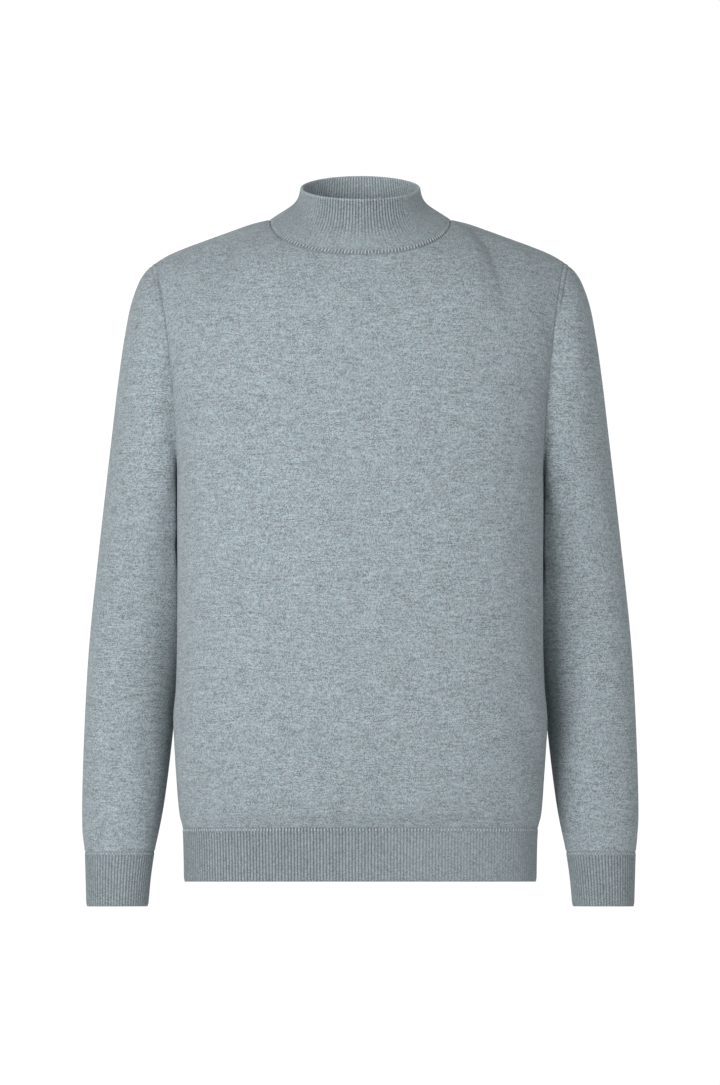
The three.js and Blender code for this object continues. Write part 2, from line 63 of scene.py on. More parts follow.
camera_data = bpy.data.cameras.new("camera")
camera_data.sensor_width = SENSOR
camera_data.lens = SENSOR * CAMERA_DISTANCE / FRAME_HEIGHT
camera_data.clip_end = FAR_LIMIT * MM
camera = bpy.data.objects.new("camera", camera_data)
camera.location = (CAMERA_X * MM, -CAMERA_DISTANCE * MM, CAMERA_HEIGHT * MM)
camera.rotation_euler = (np.pi / 2, 0, 0)
bpy.context.scene.collection.objects.link(camera)
bpy.context.scene.camera = camera
print("lens", round(camera_data.lens, 1), "mm")

# %% [markdown]
# ## Smooth curves through small tables
#
# The form of a garment can be sculpted, simulated or worked out. Here it is worked out: a short table
# holds the sizes at a few heights, and a smooth curve runs through each of its columns. That keeps the
# shape exact, repeatable and easy to change.

# %% Curve helpers
def table(names, *rows):
    """A small table as arrays: one for each named column, with a row for each section or fold."""
    return dict(zip(names.split(), np.array(rows, float).T))


def hermite(start, start_pull, end, end_pull, t):
    """A cubic from start to end: each end has a share, and so has the pull with which the curve leaves or
    reaches it, and the shares change over as t runs from 0 to 1."""
    ends = start * (1 + 2 * t) * (1 - t) ** 2 + end * t * t * (3 - 2 * t)
    return ends + start_pull * t * (1 - t) ** 2 + end_pull * t * t * (t - 1)


def column(rows, key, name):
    """A function that reads one column at any place along key. It is a cubic through the rows whose slope
    at a row is the weighted harmonic mean of the slopes beside it, so it never swings past them."""
    order = np.argsort(rows[key])
    at, value = rows[key][order], rows[name][order]
    step = np.diff(at)
    slope = np.diff(value) / step
    pull = np.empty_like(value)
    pull[0], pull[-1] = slope[0], slope[-1]
    before, after = 2 * step[1:] + step[:-1], step[1:] + 2 * step[:-1]
    rising = slope[:-1] * slope[1:] > 0
    low, high = np.where(rising, slope[:-1], 1), np.where(rising, slope[1:], 1)
    pull[1:-1] = np.where(rising, (before + after) / (before / low + after / high), 0)

    def read(place):
        place = np.clip(place, at[0], at[-1])
        i = np.clip(np.searchsorted(at, place, side="right") - 1, 0, len(at) - 2)
        t = (place - at[i]) / step[i]
        return hermite(value[i], pull[i] * step[i], value[i + 1], pull[i + 1] * step[i], t)

    return read


def smooth_step(share):
    """0 below 0, 1 above 1, and an S-shaped cubic between."""
    t = np.clip(share, 0, 1)
    return t * t * (3 - 2 * t)


def roundness(along, squareness):
    """The other coordinate of a superellipse of half size 1 at the coordinate along."""
    return np.maximum(1 - np.abs(along) ** squareness, 0) ** (1 / squareness)


def unit(vectors):
    """The same directions with length 1."""
    return vectors / np.maximum(np.linalg.norm(vectors, axis=-1, keepdims=True), 1e-9)


# %% [markdown]
# ## The body's form
#
# Below the chest every level section is a superellipse, squarer than an ellipse and flatter at the front
# than at the back. Above the chest each column of the panel bends over to the neck seam or to the
# shoulder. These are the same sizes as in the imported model, so the looks stay on its solids.

# %% Sizes of the body
HEM_BOTTOM, RIB_TOP, UNDERARM, CHEST = -694.4, -639.5, -268, -150
BODY = table(
    "z half_width mid_y front_y back_y",
    (HEM_BOTTOM, 184.8, -2, -88, 82),
    (-668, 185.2, -2, -90, 84),
    (RIB_TOP, 186.2, -3, -95, 88),
    (-626, 189.4, -4, -103, 94),
    (-612, 191.0, -6, -108, 98),
    (-589, 192.6, -8, -113, 102),
    (-560, 194.4, -10, -117, 104),
    (-525, 195.8, -12, -120, 106),
    (-490, 193.0, -14, -122, 107),
    (-440, 191.4, -15, -124, 109),
    (-380, 191.2, -15, -126, 113),
    (-330, 191.4, -14, -127, 118),
    (UNDERARM, 191.4, -12, -125, 124),
    (-235, 193.8, -10, -122, 127),
    (-205, 197.6, -7, -118, 128),
    (-175, 202.2, -4, -113, 127),
    (CHEST, 207.4, 0, -108, 125),
)
ARMHOLE = table(
    "z front_y back_y",
    (UNDERARM, -12, -12),
    (-257, -30, 8),
    (-238, -40, 22),
    (-208, -46, 36),
    (-178, -48.5, 44),
    (CHEST, -49, 49),
)
SHOULDER = table(
    "x y z",
    (94.5, 5, 0.5),
    (109.5, 7, -2.8),
    (134, 10, -11),
    (157.5, 12, -19.4),
    (180.6, 13, -27.8),
    (201.6, 13, -36.6),
    (215.5, 12, -45),
)
SIDES, HANDS = ("front", "back"), ("right", "left")
SQUARENESS = {"front": 2.7, "back": 2.25}
HEM_SLOPE, HEM_SLOPE_START = 0.079, -450
NECK_HALF_WIDTH, NECK_MID_Y, NECK_SQUARENESS, NECK_DIP = 94.5, 5, 2.3, 1.5
NECK_Y = {"front": -75, "back": 82}
NECK_Z = {"front": -41.4, "back": -3}
NECK_SIDE_Z, SHOULDER_TIP = SHOULDER["z"][0], SHOULDER["x"][-1]
# Columns of a panel are numbered from its centre: the neck takes 7 on each side and a shoulder 4
NECK_COLUMNS, SHOULDER_COLUMNS = 7, 4
PANEL_EDGE = NECK_COLUMNS + SHOULDER_COLUMNS

body_width = column(BODY, "z", "half_width")
body_middle = column(BODY, "z", "mid_y")
reach = {side: column(BODY, "z", side + "_y") for side in SIDES}
armhole_y = {side: column(ARMHOLE, "z", side + "_y") for side in SIDES}
shoulder_y, shoulder_z = column(SHOULDER, "x", "y"), column(SHOULDER, "x", "z")

# %% Points on the body
def body_point(side, height, across):
    """Points below the chest line. x is the half width times the sine of an angle that grows evenly with
    across, y the superellipse's other coordinate, and the level tips down to the back near the hem."""
    middle = body_middle(height)
    depth = reach[side](height) - middle
    edge_share = np.where(height > UNDERARM, (armhole_y[side](height) - middle) / depth, 0)
    edge_angle = np.arcsin(roundness(edge_share, SQUARENESS[side]))
    sine = np.sin(across * edge_angle)
    y = middle + depth * roundness(sine, SQUARENESS[side])
    slope = HEM_SLOPE * smooth_step((HEM_SLOPE_START - height) / (HEM_SLOPE_START - RIB_TOP))
    return np.stack(np.broadcast_arrays(body_width(height) * sine, y, height - y * slope), -1)


def neck_point(side, angle):
    """Points of the neck seam: x is the half width times the angle's sine. Height follows a superellipse,
    and depth is a root of the same share, so the seam leaves the side neck points level."""
    fall = roundness(np.sin(angle), NECK_SQUARENESS)
    y = NECK_MID_Y + (NECK_Y[side] - NECK_MID_Y) * fall ** (1 / NECK_DIP)
    z = NECK_SIDE_Z + (NECK_Z[side] - NECK_SIDE_Z) * fall
    return np.stack(np.broadcast_arrays(NECK_HALF_WIDTH * np.sin(angle), y, z), -1)


def top_edge(side, number):
    """The top edge of a panel: the neck seam out to its side point, then the shoulder line."""
    steps = np.abs(number)
    neck = neck_point(side, np.clip(number / NECK_COLUMNS, -1, 1) * np.pi / 2)
    share = np.clip((steps - NECK_COLUMNS) / SHOULDER_COLUMNS, 0, 1)
    x = NECK_HALF_WIDTH + (SHOULDER_TIP - NECK_HALF_WIDTH) * share
    shoulder = np.stack(np.broadcast_arrays(np.sign(number) * x, shoulder_y(x), shoulder_z(x)), -1)
    return np.where((steps <= NECK_COLUMNS)[..., None], neck, shoulder)


# Directions in which a panel reaches its top edge: out from the centre, over to the other panel, and up
ARRIVAL = {
    "front": {"centre": (0, 0.5, 0.86), "neck_side": (-0.75, 0.6, 0.28)},
    "back": {"centre": (0, 0.6, 0.8), "neck_side": (-0.75, 0.6, 0.28)},
}
TIP_ARRIVAL = (0.1, 1, -0.04)
# How hard the yoke's curves leave the chest and reach the neck and the shoulder, as shares of their chords
CHEST_PULL, NECK_PULL, SHOULDER_PULL = 1.1, 1.0, 0.85
# How far below the chest line the panel's own direction is measured
CHEST_STEP = 10


def direction(side, number, parts):
    """A direction given as out, over and up, turned to the side of the body that a column is on."""
    out, over, up = parts
    over = over if side == "front" else -over
    return np.stack(np.broadcast_arrays(np.sign(number) * out, over, up), -1)


def yoke_point(side, number, rise):
    """Points above the chest line: a cubic for each column, from the chest, in the direction that the
    panel has there, to the top edge, which it reaches in a direction blended from three given ones."""
    chest = body_point(side, CHEST, number / PANEL_EDGE)
    below = body_point(side, CHEST - CHEST_STEP, number / PANEL_EDGE)
    top = top_edge(side, number)
    chord = np.linalg.norm(top - chest, axis=-1, keepdims=True)
    sideways = smooth_step(np.abs(number) / NECK_COLUMNS)[..., None]
    outwards = np.clip((np.abs(number) - NECK_COLUMNS) / SHOULDER_COLUMNS, 0, 1)[..., None]
    neck = direction(side, number, ARRIVAL[side]["centre"]) * (1 - sideways)
    neck = neck + direction(side, number, ARRIVAL[side]["neck_side"]) * sideways
    change = smooth_step(outwards)
    arrive = unit(neck * (1 - change) + direction(side, number, TIP_ARRIVAL) * change)
    pull = chord * (NECK_PULL + (SHOULDER_PULL - NECK_PULL) * outwards)
    return hermite(chest, unit(chest - below) * chord * CHEST_PULL, top, arrive * pull, rise[..., None])


# %% [markdown]
# ## Thin closed shells
#
# Cloth has two faces and an edge. Blender's Solidify modifier can add the second face to a sheet, but
# here each shell is closed by hand on its grid of points: up the outer face, round a soft rim, down the
# inner face and round the other rim. So rib relief can differ on both faces, and a fold is really round.
#
# A second map goes on with the points. It holds how far each point lies along a row of stitches and how
# far up the column of stitches, in metres of cloth, so the knit keeps its scale wherever the form bends.

# %% Grids of points
def ahead(values, axis, wraps):
    """The difference between the points after and before each one along an axis of a grid."""
    if wraps:
        return np.roll(values, -1, axis) - np.roll(values, 1, axis)
    return np.gradient(values, axis=axis)


def outward(points, wraps):
    """Normals of a grid: the direction along its rows crossed with the direction up its columns."""
    return unit(np.cross(ahead(points, 1, wraps), ahead(points, 0, False)))


def summed(steps, axis):
    """Running sums of steps along an axis, from 0."""
    return np.concatenate([np.zeros_like(np.take(steps, [0], axis)), np.cumsum(steps, axis)], axis)


def distances(points, axis=0):
    """How far each point of a line or a grid lies from the first one, measured along an axis."""
    return summed(np.linalg.norm(np.diff(points, axis=axis), axis=-1), axis)


def from_end(points, axis=0):
    """How far each point of a grid lies from the last one, measured along an axis."""
    return np.flip(distances(np.flip(points, axis), axis), axis)


# The least share of a step that counts along a row of stitches, however steeply the grid climbs there
LEAST_ALONG = 0.3


def cloth_map(points):
    """How far each point lies along its row of stitches and up its column of stitches: up is the length
    of the grid's column so far, and along is what that climb leaves of each step of the row, counted
    from the middle."""
    up = distances(points)
    step = np.linalg.norm(np.diff(points, axis=1), axis=-1)
    along = summed(np.sqrt(np.maximum(step**2 - np.diff(up, axis=1) ** 2, (LEAST_ALONG * step) ** 2)), 1)
    return along - along[:, points.shape[1] // 2, None], up


def spot(points, row, place):
    """Points of a grid at a row and place that needn't be whole, mixed from the four around each."""
    i = np.clip(np.floor(row).astype(int), 0, points.shape[0] - 2)
    j = np.clip(np.floor(place).astype(int), 0, points.shape[1] - 2)
    s, t = (row - i)[..., None], (place - j)[..., None]
    low = points[i, j] * (1 - t) + points[i, j + 1] * t
    high = points[i + 1, j] * (1 - t) + points[i + 1, j + 1] * t
    return low * (1 - s) + high * s


def spread(fine, length, end_steps):
    """Places from 0 to length about fine apart, with short steps of the given sizes near both ends."""
    ends = np.cumsum(end_steps)
    middle = np.linspace(ends[-1], length - ends[-1], max(int((length - 2 * ends[-1]) / fine), 2))
    return np.concatenate([[0], ends[:-1], middle, length - ends[:-1][::-1], [length]])


# %% Meshes from grids
RIM_STEPS = 3


def mesh_piece(name, points, quads, extra, along_up, flat_from, material):
    """A mesh object from points in millimetres, four-cornered faces and a few faces with more corners.
    along_up holds the cloth map at each corner of the quads, and faces from flat_from on are flat."""
    corners = np.concatenate([quads.ravel(), *[np.array(face) for face in extra]]).astype(np.int32)
    sizes = np.concatenate([np.full(len(quads), 4), [len(face) for face in extra]]).astype(np.int32)
    starts = np.concatenate([[0], np.cumsum(sizes)[:-1]]).astype(np.int32)
    mesh = bpy.data.meshes.new(name)
    mesh.vertices.add(len(points))
    mesh.vertices.foreach_set("co", (points * MM).astype(np.float32).ravel())
    mesh.loops.add(len(corners))
    mesh.loops.foreach_set("vertex_index", corners)
    mesh.polygons.add(len(sizes))
    mesh.polygons.foreach_set("loop_start", starts)
    smooth = np.arange(len(sizes)) < flat_from
    mesh.polygons.foreach_set("use_smooth", smooth)
    knit = mesh.uv_layers.new(name="knit")
    places = np.zeros((len(corners), 2), np.float32)
    places[: len(along_up)] = along_up * MM
    knit.data.foreach_set("uv", places.ravel())
    mesh.update(calc_edges=True)
    mesh.validate()
    mesh.materials.append(material)
    piece = bpy.data.objects.new(name, mesh)
    bpy.context.scene.collection.objects.link(piece)
    return piece


def rim_rows(edge, across, away, swell):
    """Rows that carry a shell round its rim: a half circle from one face to the other, centred between
    them, with across as its half width and away, times swell, as its height."""
    angle = np.pi * np.arange(1, RIM_STEPS + 1)[:, None, None] / (RIM_STEPS + 1)
    height = np.linalg.norm(across, axis=-1, keepdims=True) * swell
    return edge - across + across * np.cos(angle) + away * height * np.sin(angle)


def loop_map(along, up, wall):
    """A cloth map carried round a shell's loop of rows and back to its first row: both faces have the
    same stitches, and each rim has wall more or less of them. It has a place for each corner of a quad."""
    turn = np.arange(1, RIM_STEPS + 1)[:, None] * wall / RIM_STEPS
    along = np.concatenate([along, np.repeat(along[-1:], RIM_STEPS, 0), along[::-1],
                            np.repeat(along[:1], RIM_STEPS + 1, 0)])
    up = np.concatenate([up, up[-1:] + turn, up[::-1], up[:1] - turn, up[:1]])
    both = np.stack([along, up], -1)
    corners = [both[:-1, :-1], both[:-1, 1:], both[1:, 1:], both[1:, :-1]]
    return np.stack(corners, 2).reshape(-1, 2)


def side_faces(count, rows, width):
    """Faces that close both sides of a shell whose grid doesn't wrap: a face between each pair of rows,
    from the outer face to the inner one, and a face with more corners at each rim."""
    i = np.arange(count - 1)
    behind = 2 * count + RIM_STEPS - 1 - i
    between = np.stack([i, i + 1, behind - 1, behind], -1)
    rims = [np.arange(count - 1, count + RIM_STEPS + 1),
            np.append(np.arange(2 * count + RIM_STEPS - 1, rows), 0)]
    faces = []
    for place, way in ((0, 1), (width - 1, -1)):
        faces += [list(face * width + place)[::way] for face in [*between, *rims]]
    return faces


def shell(name, base, wall, wraps, material, *, lift=0, inner_lift=0, first_swell=0.3, last_swell=0.3,
          stitches=cloth_map, start=0):
    """A closed shell on a grid. The outer face is the grid lifted along its normals, the inner face is
    wall below it with a lift of its own, and a rounded rim joins them at the first and the last row.
    Grids that don't wrap are closed at their sides. Its cloth map begins at start."""
    normal = outward(base, wraps)
    outer = base + normal * np.asarray(lift)[..., None]
    inner = base - normal * (wall + np.asarray(inner_lift)[..., None])
    half = (outer - inner) / 2
    last = rim_rows(outer[-1], half[-1], unit(outer[-1] - outer[-3]), last_swell)
    first = rim_rows(inner[0], -half[0], unit(outer[0] - outer[2]), first_swell)
    loop = np.concatenate([outer, last, inner[::-1], first])
    rows, width = loop.shape[:2]
    row, place = np.meshgrid(np.arange(rows), np.arange(width if wraps else width - 1), indexing="ij")
    row, above, beside = row * width, (row + 1) % rows * width, (place + 1) % width
    quads = np.stack([row + place, row + beside, above + beside, above + place], -1).reshape(-1, 4)
    extra = [] if wraps else side_faces(len(base), rows, width)
    along, up = stitches(np.concatenate([base, base[:, :1]], 1) if wraps else base)
    piece = mesh_piece(name, loop.reshape(-1, 3), quads, extra, loop_map(along + start, up, wall),
                       len(quads), material)
    triangles = 2 * len(quads) + sum(len(face) - 2 for face in extra)
    print(name, "triangles", triangles, "metres", [round(d, 3) for d in piece.dimensions])
    return piece


# %% [markdown]
# ## Yarn
#
# The yarn is a heather: fibres of several greys, with a little green and a little rose among them, are
# spun together, so each row of stitches changes tone every few millimetres. An image texture would tie
# the cloth to one picture. Noise that is stretched along the rows and cut off at each row gives the same
# short dashes at any distance, and reads the cloth map, so it follows the knit round every bend.

# %% Node helpers
def put(socket, value):
    """Gives a socket its value: another node's output or a constant."""
    if hasattr(value, "is_output"):
        socket.id_data.links.new(value, socket)
    else:
        socket.default_value = value


def shader_nodes(name):
    """A new material with only its output and a Principled shader, and short ways to add other nodes."""
    material = bpy.data.materials.new(name)
    material.use_nodes = True
    tree = material.node_tree
    tree.nodes.clear()
    output = tree.nodes.new("ShaderNodeOutputMaterial")
    shader = tree.nodes.new("ShaderNodeBsdfPrincipled")
    tree.links.new(shader.outputs[0], output.inputs[0])

    def node(kind, settings=None, **inputs):
        made = tree.nodes.new("ShaderNode" + kind)
        for key, value in (settings or {}).items():
            setattr(made, key, value)
        for key, value in inputs.items():
            put(made.inputs[key], value)
        return made

    def math(operation, *values):
        made = node("Math", {"operation": operation})
        for k, value in enumerate(values):
            put(made.inputs[k], value)
        return made.outputs[0]

    return material, shader, node, math


def mixed(node, share, first, second, mode="MIX"):
    """A colour between two others, or the first one changed by the second in another mode."""
    made = node("Mix", {"data_type": "RGBA", "blend_type": mode})
    for k, value in ((0, share), (6, first), (7, second)):
        put(made.inputs[k], value)
    return made.outputs[2]


def toned(node, colour, tone):
    """A colour times a tone, where 1 leaves it as it is."""
    grey = node("CombineColor", Red=tone, Green=tone, Blue=tone).outputs[0]
    return mixed(node, 1.0, colour, grey, "MULTIPLY")


def grey_steps(node, value, *stops):
    """A ramp from a value to greys, with a stop at each given place."""
    ramp = node("ValToRGB", Fac=value)
    elements = ramp.color_ramp.elements
    while len(elements) < len(stops):
        elements.new(0.5)
    for element, (place, grey) in zip(elements, stops):
        element.position = place
        element.color = (grey, grey, grey, 1)
    return ramp.outputs[0]


# %% Heather yarn
ROW_HEIGHT, STITCH_WIDTH, FLECK_WIDTH = 1.05, 1.5, 1.0
YARN = (0.215, 0.252, 0.272, 1)
GREEN_FIBRE = (0.210, 0.256, 0.265, 1)
ROSE_FIBRE = (0.224, 0.250, 0.273, 1)
# How strongly dashes, flecks and clouds change the tone, and how far the dashes shift from row to row
DASH_SHARE, FLECK_SHARE, CLOUD_SHARE, ROW_SHIFT = 0.85, 0.74, 0.11, 7.31
CLOUDS_PER_METRE, TINTS_PER_METRE = 38.0, 230.0


def knit_place(node):
    """How far along and how far up the knit a place lies, in metres of cloth."""
    return node("SeparateXYZ", Vector=node("UVMap", {"uv_map": "knit"}).outputs[0]).outputs[:2]


def heather(node, math, along, up, dash, contrast):
    """The yarn's colour on a cloth map in metres: dashes one row high and about dash millimetres long,
    smaller flecks from stitch to stitch, green and rose fibres in places, and broad faint clouds."""
    flat_noise = {"noise_dimensions": "2D"}
    row = math("FLOOR", math("DIVIDE", up, ROW_HEIGHT * MM))
    dash_place = node("CombineXYZ", X=math("DIVIDE", along, dash * MM), Y=math("MULTIPLY", row, ROW_SHIFT),
                      Z=0.0)
    dashes = node("TexNoise", flat_noise, Vector=dash_place.outputs[0], Scale=1.0, Detail=2.0,
                  Roughness=0.6).outputs[0]
    fleck_place = node("CombineXYZ", X=math("FLOOR", math("DIVIDE", along, FLECK_WIDTH * MM)), Y=row, Z=0.0)
    flecks = node("TexWhiteNoise", flat_noise, Vector=fleck_place.outputs[0]).outputs[0]
    both = node("CombineXYZ", X=along, Y=up, Z=0.0).outputs[0]
    clouds = node("TexNoise", flat_noise, Vector=both, Scale=CLOUDS_PER_METRE, Detail=3.0).outputs[0]
    tint = node("TexNoise", flat_noise, Vector=both, Scale=TINTS_PER_METRE, Detail=1.0).outputs[0]
    colour = mixed(node, grey_steps(node, tint, (0.40, 1), (0.52, 0)), YARN, GREEN_FIBRE)
    colour = mixed(node, grey_steps(node, tint, (0.52, 0), (0.64, 1)), colour, ROSE_FIBRE)
    tone = 1.0
    for value, share in ((dashes, DASH_SHARE * contrast), (flecks, FLECK_SHARE * contrast),
                         (clouds, CLOUD_SHARE)):
        tone = math("ADD", tone, math("MULTIPLY", math("SUBTRACT", value, 0.5), share))
    return toned(node, colour, tone)


def finish_cloth(shader, colour, bump=None):
    """Joins a colour and a bump to the dull, slightly fuzzy surface of a fine knit."""
    put(shader.inputs["Base Color"], colour)
    if bump:
        put(shader.inputs["Normal"], bump.outputs[0])
    put(shader.inputs["Roughness"], 0.9)
    put(shader.inputs["Specular IOR Level"], 0.2)
    put(shader.inputs["Sheen Weight"], 0.18)
    put(shader.inputs["Sheen Roughness"], 0.5)
    put(shader.inputs["Sheen Tint"], (0.85, 0.92, 0.95, 1))


# %% [markdown]
# ## Jersey
#
# Plain jersey shows columns of small V stitches. At the distance of the picture they melt into the
# heather's dashes, and close by they show. Modelling half a million of them would be too heavy, so they
# are bumps: each V is two slanting strands, worked out from the place inside the stitch.

# %% Jersey material
# The last two paint shade into the colour: its share in the gaps between the strands, and how much lighter it
# grows on their tops
JERSEY_DASH, STRAND_SLANT, GAP_SHADE, STRAND_LIGHTENING = 15.0, -1.5, 0.86, 0.2


def make_jersey():
    """Heather colour with painted shade, darker in the gaps between the strands, and a bump in which each
    stitch is a V of two round strands.
    """
    material, shader, node, math = shader_nodes("heather_jersey")
    along, up = knit_place(node)
    colour = heather(node, math, along, up, JERSEY_DASH, 1.0)
    across = math("ABSOLUTE", math("SUBTRACT", math("FRACT", math("DIVIDE", along, STITCH_WIDTH * MM)), 0.5))
    climb = math("ADD", math("DIVIDE", up, ROW_HEIGHT * MM), math("MULTIPLY", across, STRAND_SLANT))
    strand = math("ABSOLUTE", math("SUBTRACT", math("FRACT", climb), 0.5))
    strand_height = math("SUBTRACT", 1.0, math("POWER", math("MULTIPLY", strand, 2.0), 2.0))
    groove = math("POWER", math("ABSOLUTE", math("SUBTRACT", math("MULTIPLY", across, 4.0), 1.0)), 3.0)
    height = math("MULTIPLY", strand_height, math("SUBTRACT", 1.0, groove))
    shade = math("ADD", GAP_SHADE, math("MULTIPLY", height, STRAND_LIGHTENING))
    bump = node("Bump", Strength=0.55, Distance=0.4 * MM, Height=height)
    finish_cloth(shader, toned(node, colour, shade), bump)
    return material


jersey = make_jersey()
print("material", jersey.name)

# %% [markdown]
# ## Rib
#
# A one-by-one rib stands in real ridges, and they show clearly at the collar and the hem, so the ridges are
# part of the shape. The material paints shade into the purl grooves between them, where less light gets in,
# paints light where an attribute asks for more than a ridge, and adds the stitches that climb each ridge.

# %% Rib material
RIB_PITCH, RIB_DASH, RIB_CONTRAST = 3.3, 3.4, 0.7
# Painted shade of the rib: the colour's share left in a groove, and how much lighter it grows on a ridge,
# where it still stays darker than the jersey
GROOVE_SHADE, RIDGE_LIGHTENING = 0.28, 0.58


def make_rib():
    """Heather colour with painted shade, darker in the grooves that an attribute marks and lighter where it
    asks for painted light, with stitches up each ridge.
    """
    material, shader, node, math = shader_nodes("heather_rib")
    along, up = knit_place(node)
    colour = heather(node, math, along, up, RIB_DASH, RIB_CONTRAST)
    ridge = node("Attribute", {"attribute_name": "ridge"}).outputs["Fac"]
    shade = math("ADD", GROOVE_SHADE, math("MULTIPLY", ridge, RIDGE_LIGHTENING))
    stitch = math("ABSOLUTE", math("SUBTRACT", math("FRACT", math("DIVIDE", up, ROW_HEIGHT * MM)), 0.5))
    bump = node("Bump", Strength=0.4, Distance=0.3 * MM, Height=math("SUBTRACT", 1.0, stitch))
    finish_cloth(shader, toned(node, colour, shade), bump)
    return material


def paint_rib_shading(piece, ridge):
    """Stores the painted shade of each point of a rib: 0 in a groove, 1 on a ridge and a little more at a
    fold, where it is a painted highlight.
    """
    values = piece.data.attributes.new("ridge", "FLOAT", "POINT")
    values.data.foreach_set("value", ridge.astype(np.float32).ravel())


rib = make_rib()
print("material", rib.name)

# %% [markdown]
# ## Folds and seams
#
# A fine knit on a general figure hangs almost smooth. What it shows are a few long, soft folds, none like
# another, and the shallow dip along each seam. A fold is a rounded trough that fades towards its ends and
# may bend. Dips and troughs both push the grid along its normals, so the cloth stays one skin.

# %% Fold helpers
def bell(distance, width):
    """A bell curve: 1 at distance 0, about a third at width and almost nothing at twice that."""
    return np.exp(-((distance / width) ** 2))


def fold_depths(folds, x, z):
    """The sum of all folds at each spot: each is its depth times two bell curves, a long one along it and
    a narrow one across it, and bend swings its ends sideways. Ridges have a negative depth."""
    total = np.zeros(np.broadcast_shapes(np.shape(x), np.shape(z)))
    for fx, fz, turn, length, width, bend, depth in folds:
        angle = np.radians(turn)
        dx, dz = x - fx, z - fz
        along = (dz * np.cos(angle) + dx * np.sin(angle)) / length
        across = (dx * np.cos(angle) - dz * np.sin(angle)) / width - bend * along**2
        total = total + depth * np.exp(-(along**2) - across**2)
    return total


# How deep and wide a seam's dip is, and how high, how far from the seam and how wide the swell beside it
DIP, DIP_WIDTH = 0.55, 1.2
SWELL, SWELL_AT, SWELL_WIDTH = 0.16, 3.4, 1.9
# The share of a dip that is left at the tip of the shoulder, and how far from it the whole dip is back
TIP_SHARE, TIP_REACH = 0.3, 11
# Where the sleeve lies beside the body: heights, distance from the centre and how soon each sets in, and
# how much of the dip is lost there, which past 1 turns it into a swell
BESIDE_TOP, BESIDE_BOTTOM, BESIDE_FADE = -105, -560, 60
BESIDE_X, BESIDE_X_FADE, BESIDE_TURN = 150, 30, 1.15
# How near to an edge folds fade out
FOLD_FADE = 8


def seam_dip(distance, depth=1.0):
    """The form of cloth beside a linked seam: it dips within two millimetres and swells just before."""
    return depth * (DIP * bell(distance, DIP_WIDTH) - SWELL * bell(distance - SWELL_AT, SWELL_WIDTH))


def seam_strength(points):
    """How deep a seam dips at each point: hardly at the tip of the shoulder, where it would notch the
    outline, and not at all where the sleeve lies flat beside the body. There the two edges face each
    other and swell a little instead, so that the seam is shut."""
    x, y, z = np.moveaxis(points, -1, 0)
    from_tip = np.sqrt((np.abs(x) - SHOULDER_TIP) ** 2 + (y - shoulder_y(SHOULDER_TIP)) ** 2
                       + (z - shoulder_z(SHOULDER_TIP)) ** 2)
    low = smooth_step((BESIDE_TOP - z) / BESIDE_FADE) * smooth_step((z - BESIDE_BOTTOM) / BESIDE_FADE)
    beside = low * smooth_step((np.abs(x) - BESIDE_X) / BESIDE_X_FADE)
    return (TIP_SHARE + (1 - TIP_SHARE) * smooth_step(from_tip / TIP_REACH)) * (1 - BESIDE_TURN * beside)


# %% [markdown]
# ## Front and back panels
#
# Each panel is one piece of jersey from the hem rib to the neck and the shoulders. Its grid has short
# steps near its edges, where the cloth turns into the seams.

# %% Front and back panels
JERSEY_WALL, PANEL_STEP = 1.6, 3.3
# The spans of cloth, across a panel and up its yoke, for which the number of its steps is worked out
PANEL_SPAN, YOKE_SPAN, LOW_YOKE_ROWS = 500, 128, 5
EDGE_STEPS = (0.6, 0.6, 0.6, 0.6, 0.6, 0.6, 0.7, 0.7, 0.8, 0.9, 1.1, 1.4, 1.8, 2.3)
# Where on the yarn's pattern each piece of jersey begins, so that no two show the same marks
YARN_START = {"front": 0, "back": 900, "right": 1800, "left": 2700}
# Middle x and z, turn from upright in degrees, half length, half width, bend and depth
FRONT_FOLDS = (
    (174, -545, -22, 78, 12, 0.5, 2.2),
    (150, -600, -10, 52, 9, -0.4, 1.0),
    (186, -455, -12, 60, 9, 0.3, 1.3),
    (-174, -590, 16, 52, 11, -0.5, 1.5),
    (-183, -500, 6, 66, 9, 0.2, 1.1),
    (120, -612, 62, 46, 10, 0.5, 0.9),
    (-96, -606, -68, 52, 11, -0.6, 0.9),
    (30, -598, 86, 66, 12, 0.3, 0.6),
    (-150, -300, 38, 60, 13, 0.3, 0.9),
    (158, -310, -34, 58, 13, -0.4, 1.1),
    (-40, -470, 80, 96, 17, 0.3, 0.5),
    (70, -395, -76, 84, 16, -0.2, 0.5),
    (140, -120, -44, 46, 12, 0.4, 0.7),
    (-138, -128, 40, 50, 13, -0.3, 0.6),
)
BACK_FOLDS = (
    (60, -452, 82, 96, 15, 0.4, 2.6),
    (-75, -505, 98, 84, 14, -0.5, 2.2),
    (-150, -560, 24, 64, 12, 0.4, 2.4),
    (148, -590, -18, 52, 11, -0.3, 1.6),
    (20, -560, 74, 74, 13, 0.6, 1.5),
    (-30, -398, 96, 70, 15, 0.3, 1.3),
    (-158, -300, -34, 60, 13, 0.3, 1.5),
    (160, -318, 38, 54, 12, -0.4, 1.2),
    (96, -610, -60, 44, 10, 0.5, 1.1),
    (-64, -612, 66, 50, 10, -0.4, 1.0),
    (0, -80, 90, 66, 12, 0.8, 1.0),
    (110, -130, 34, 56, 13, 0.3, 0.9),
    (-116, -140, -38, 52, 12, -0.3, 1.0),
)


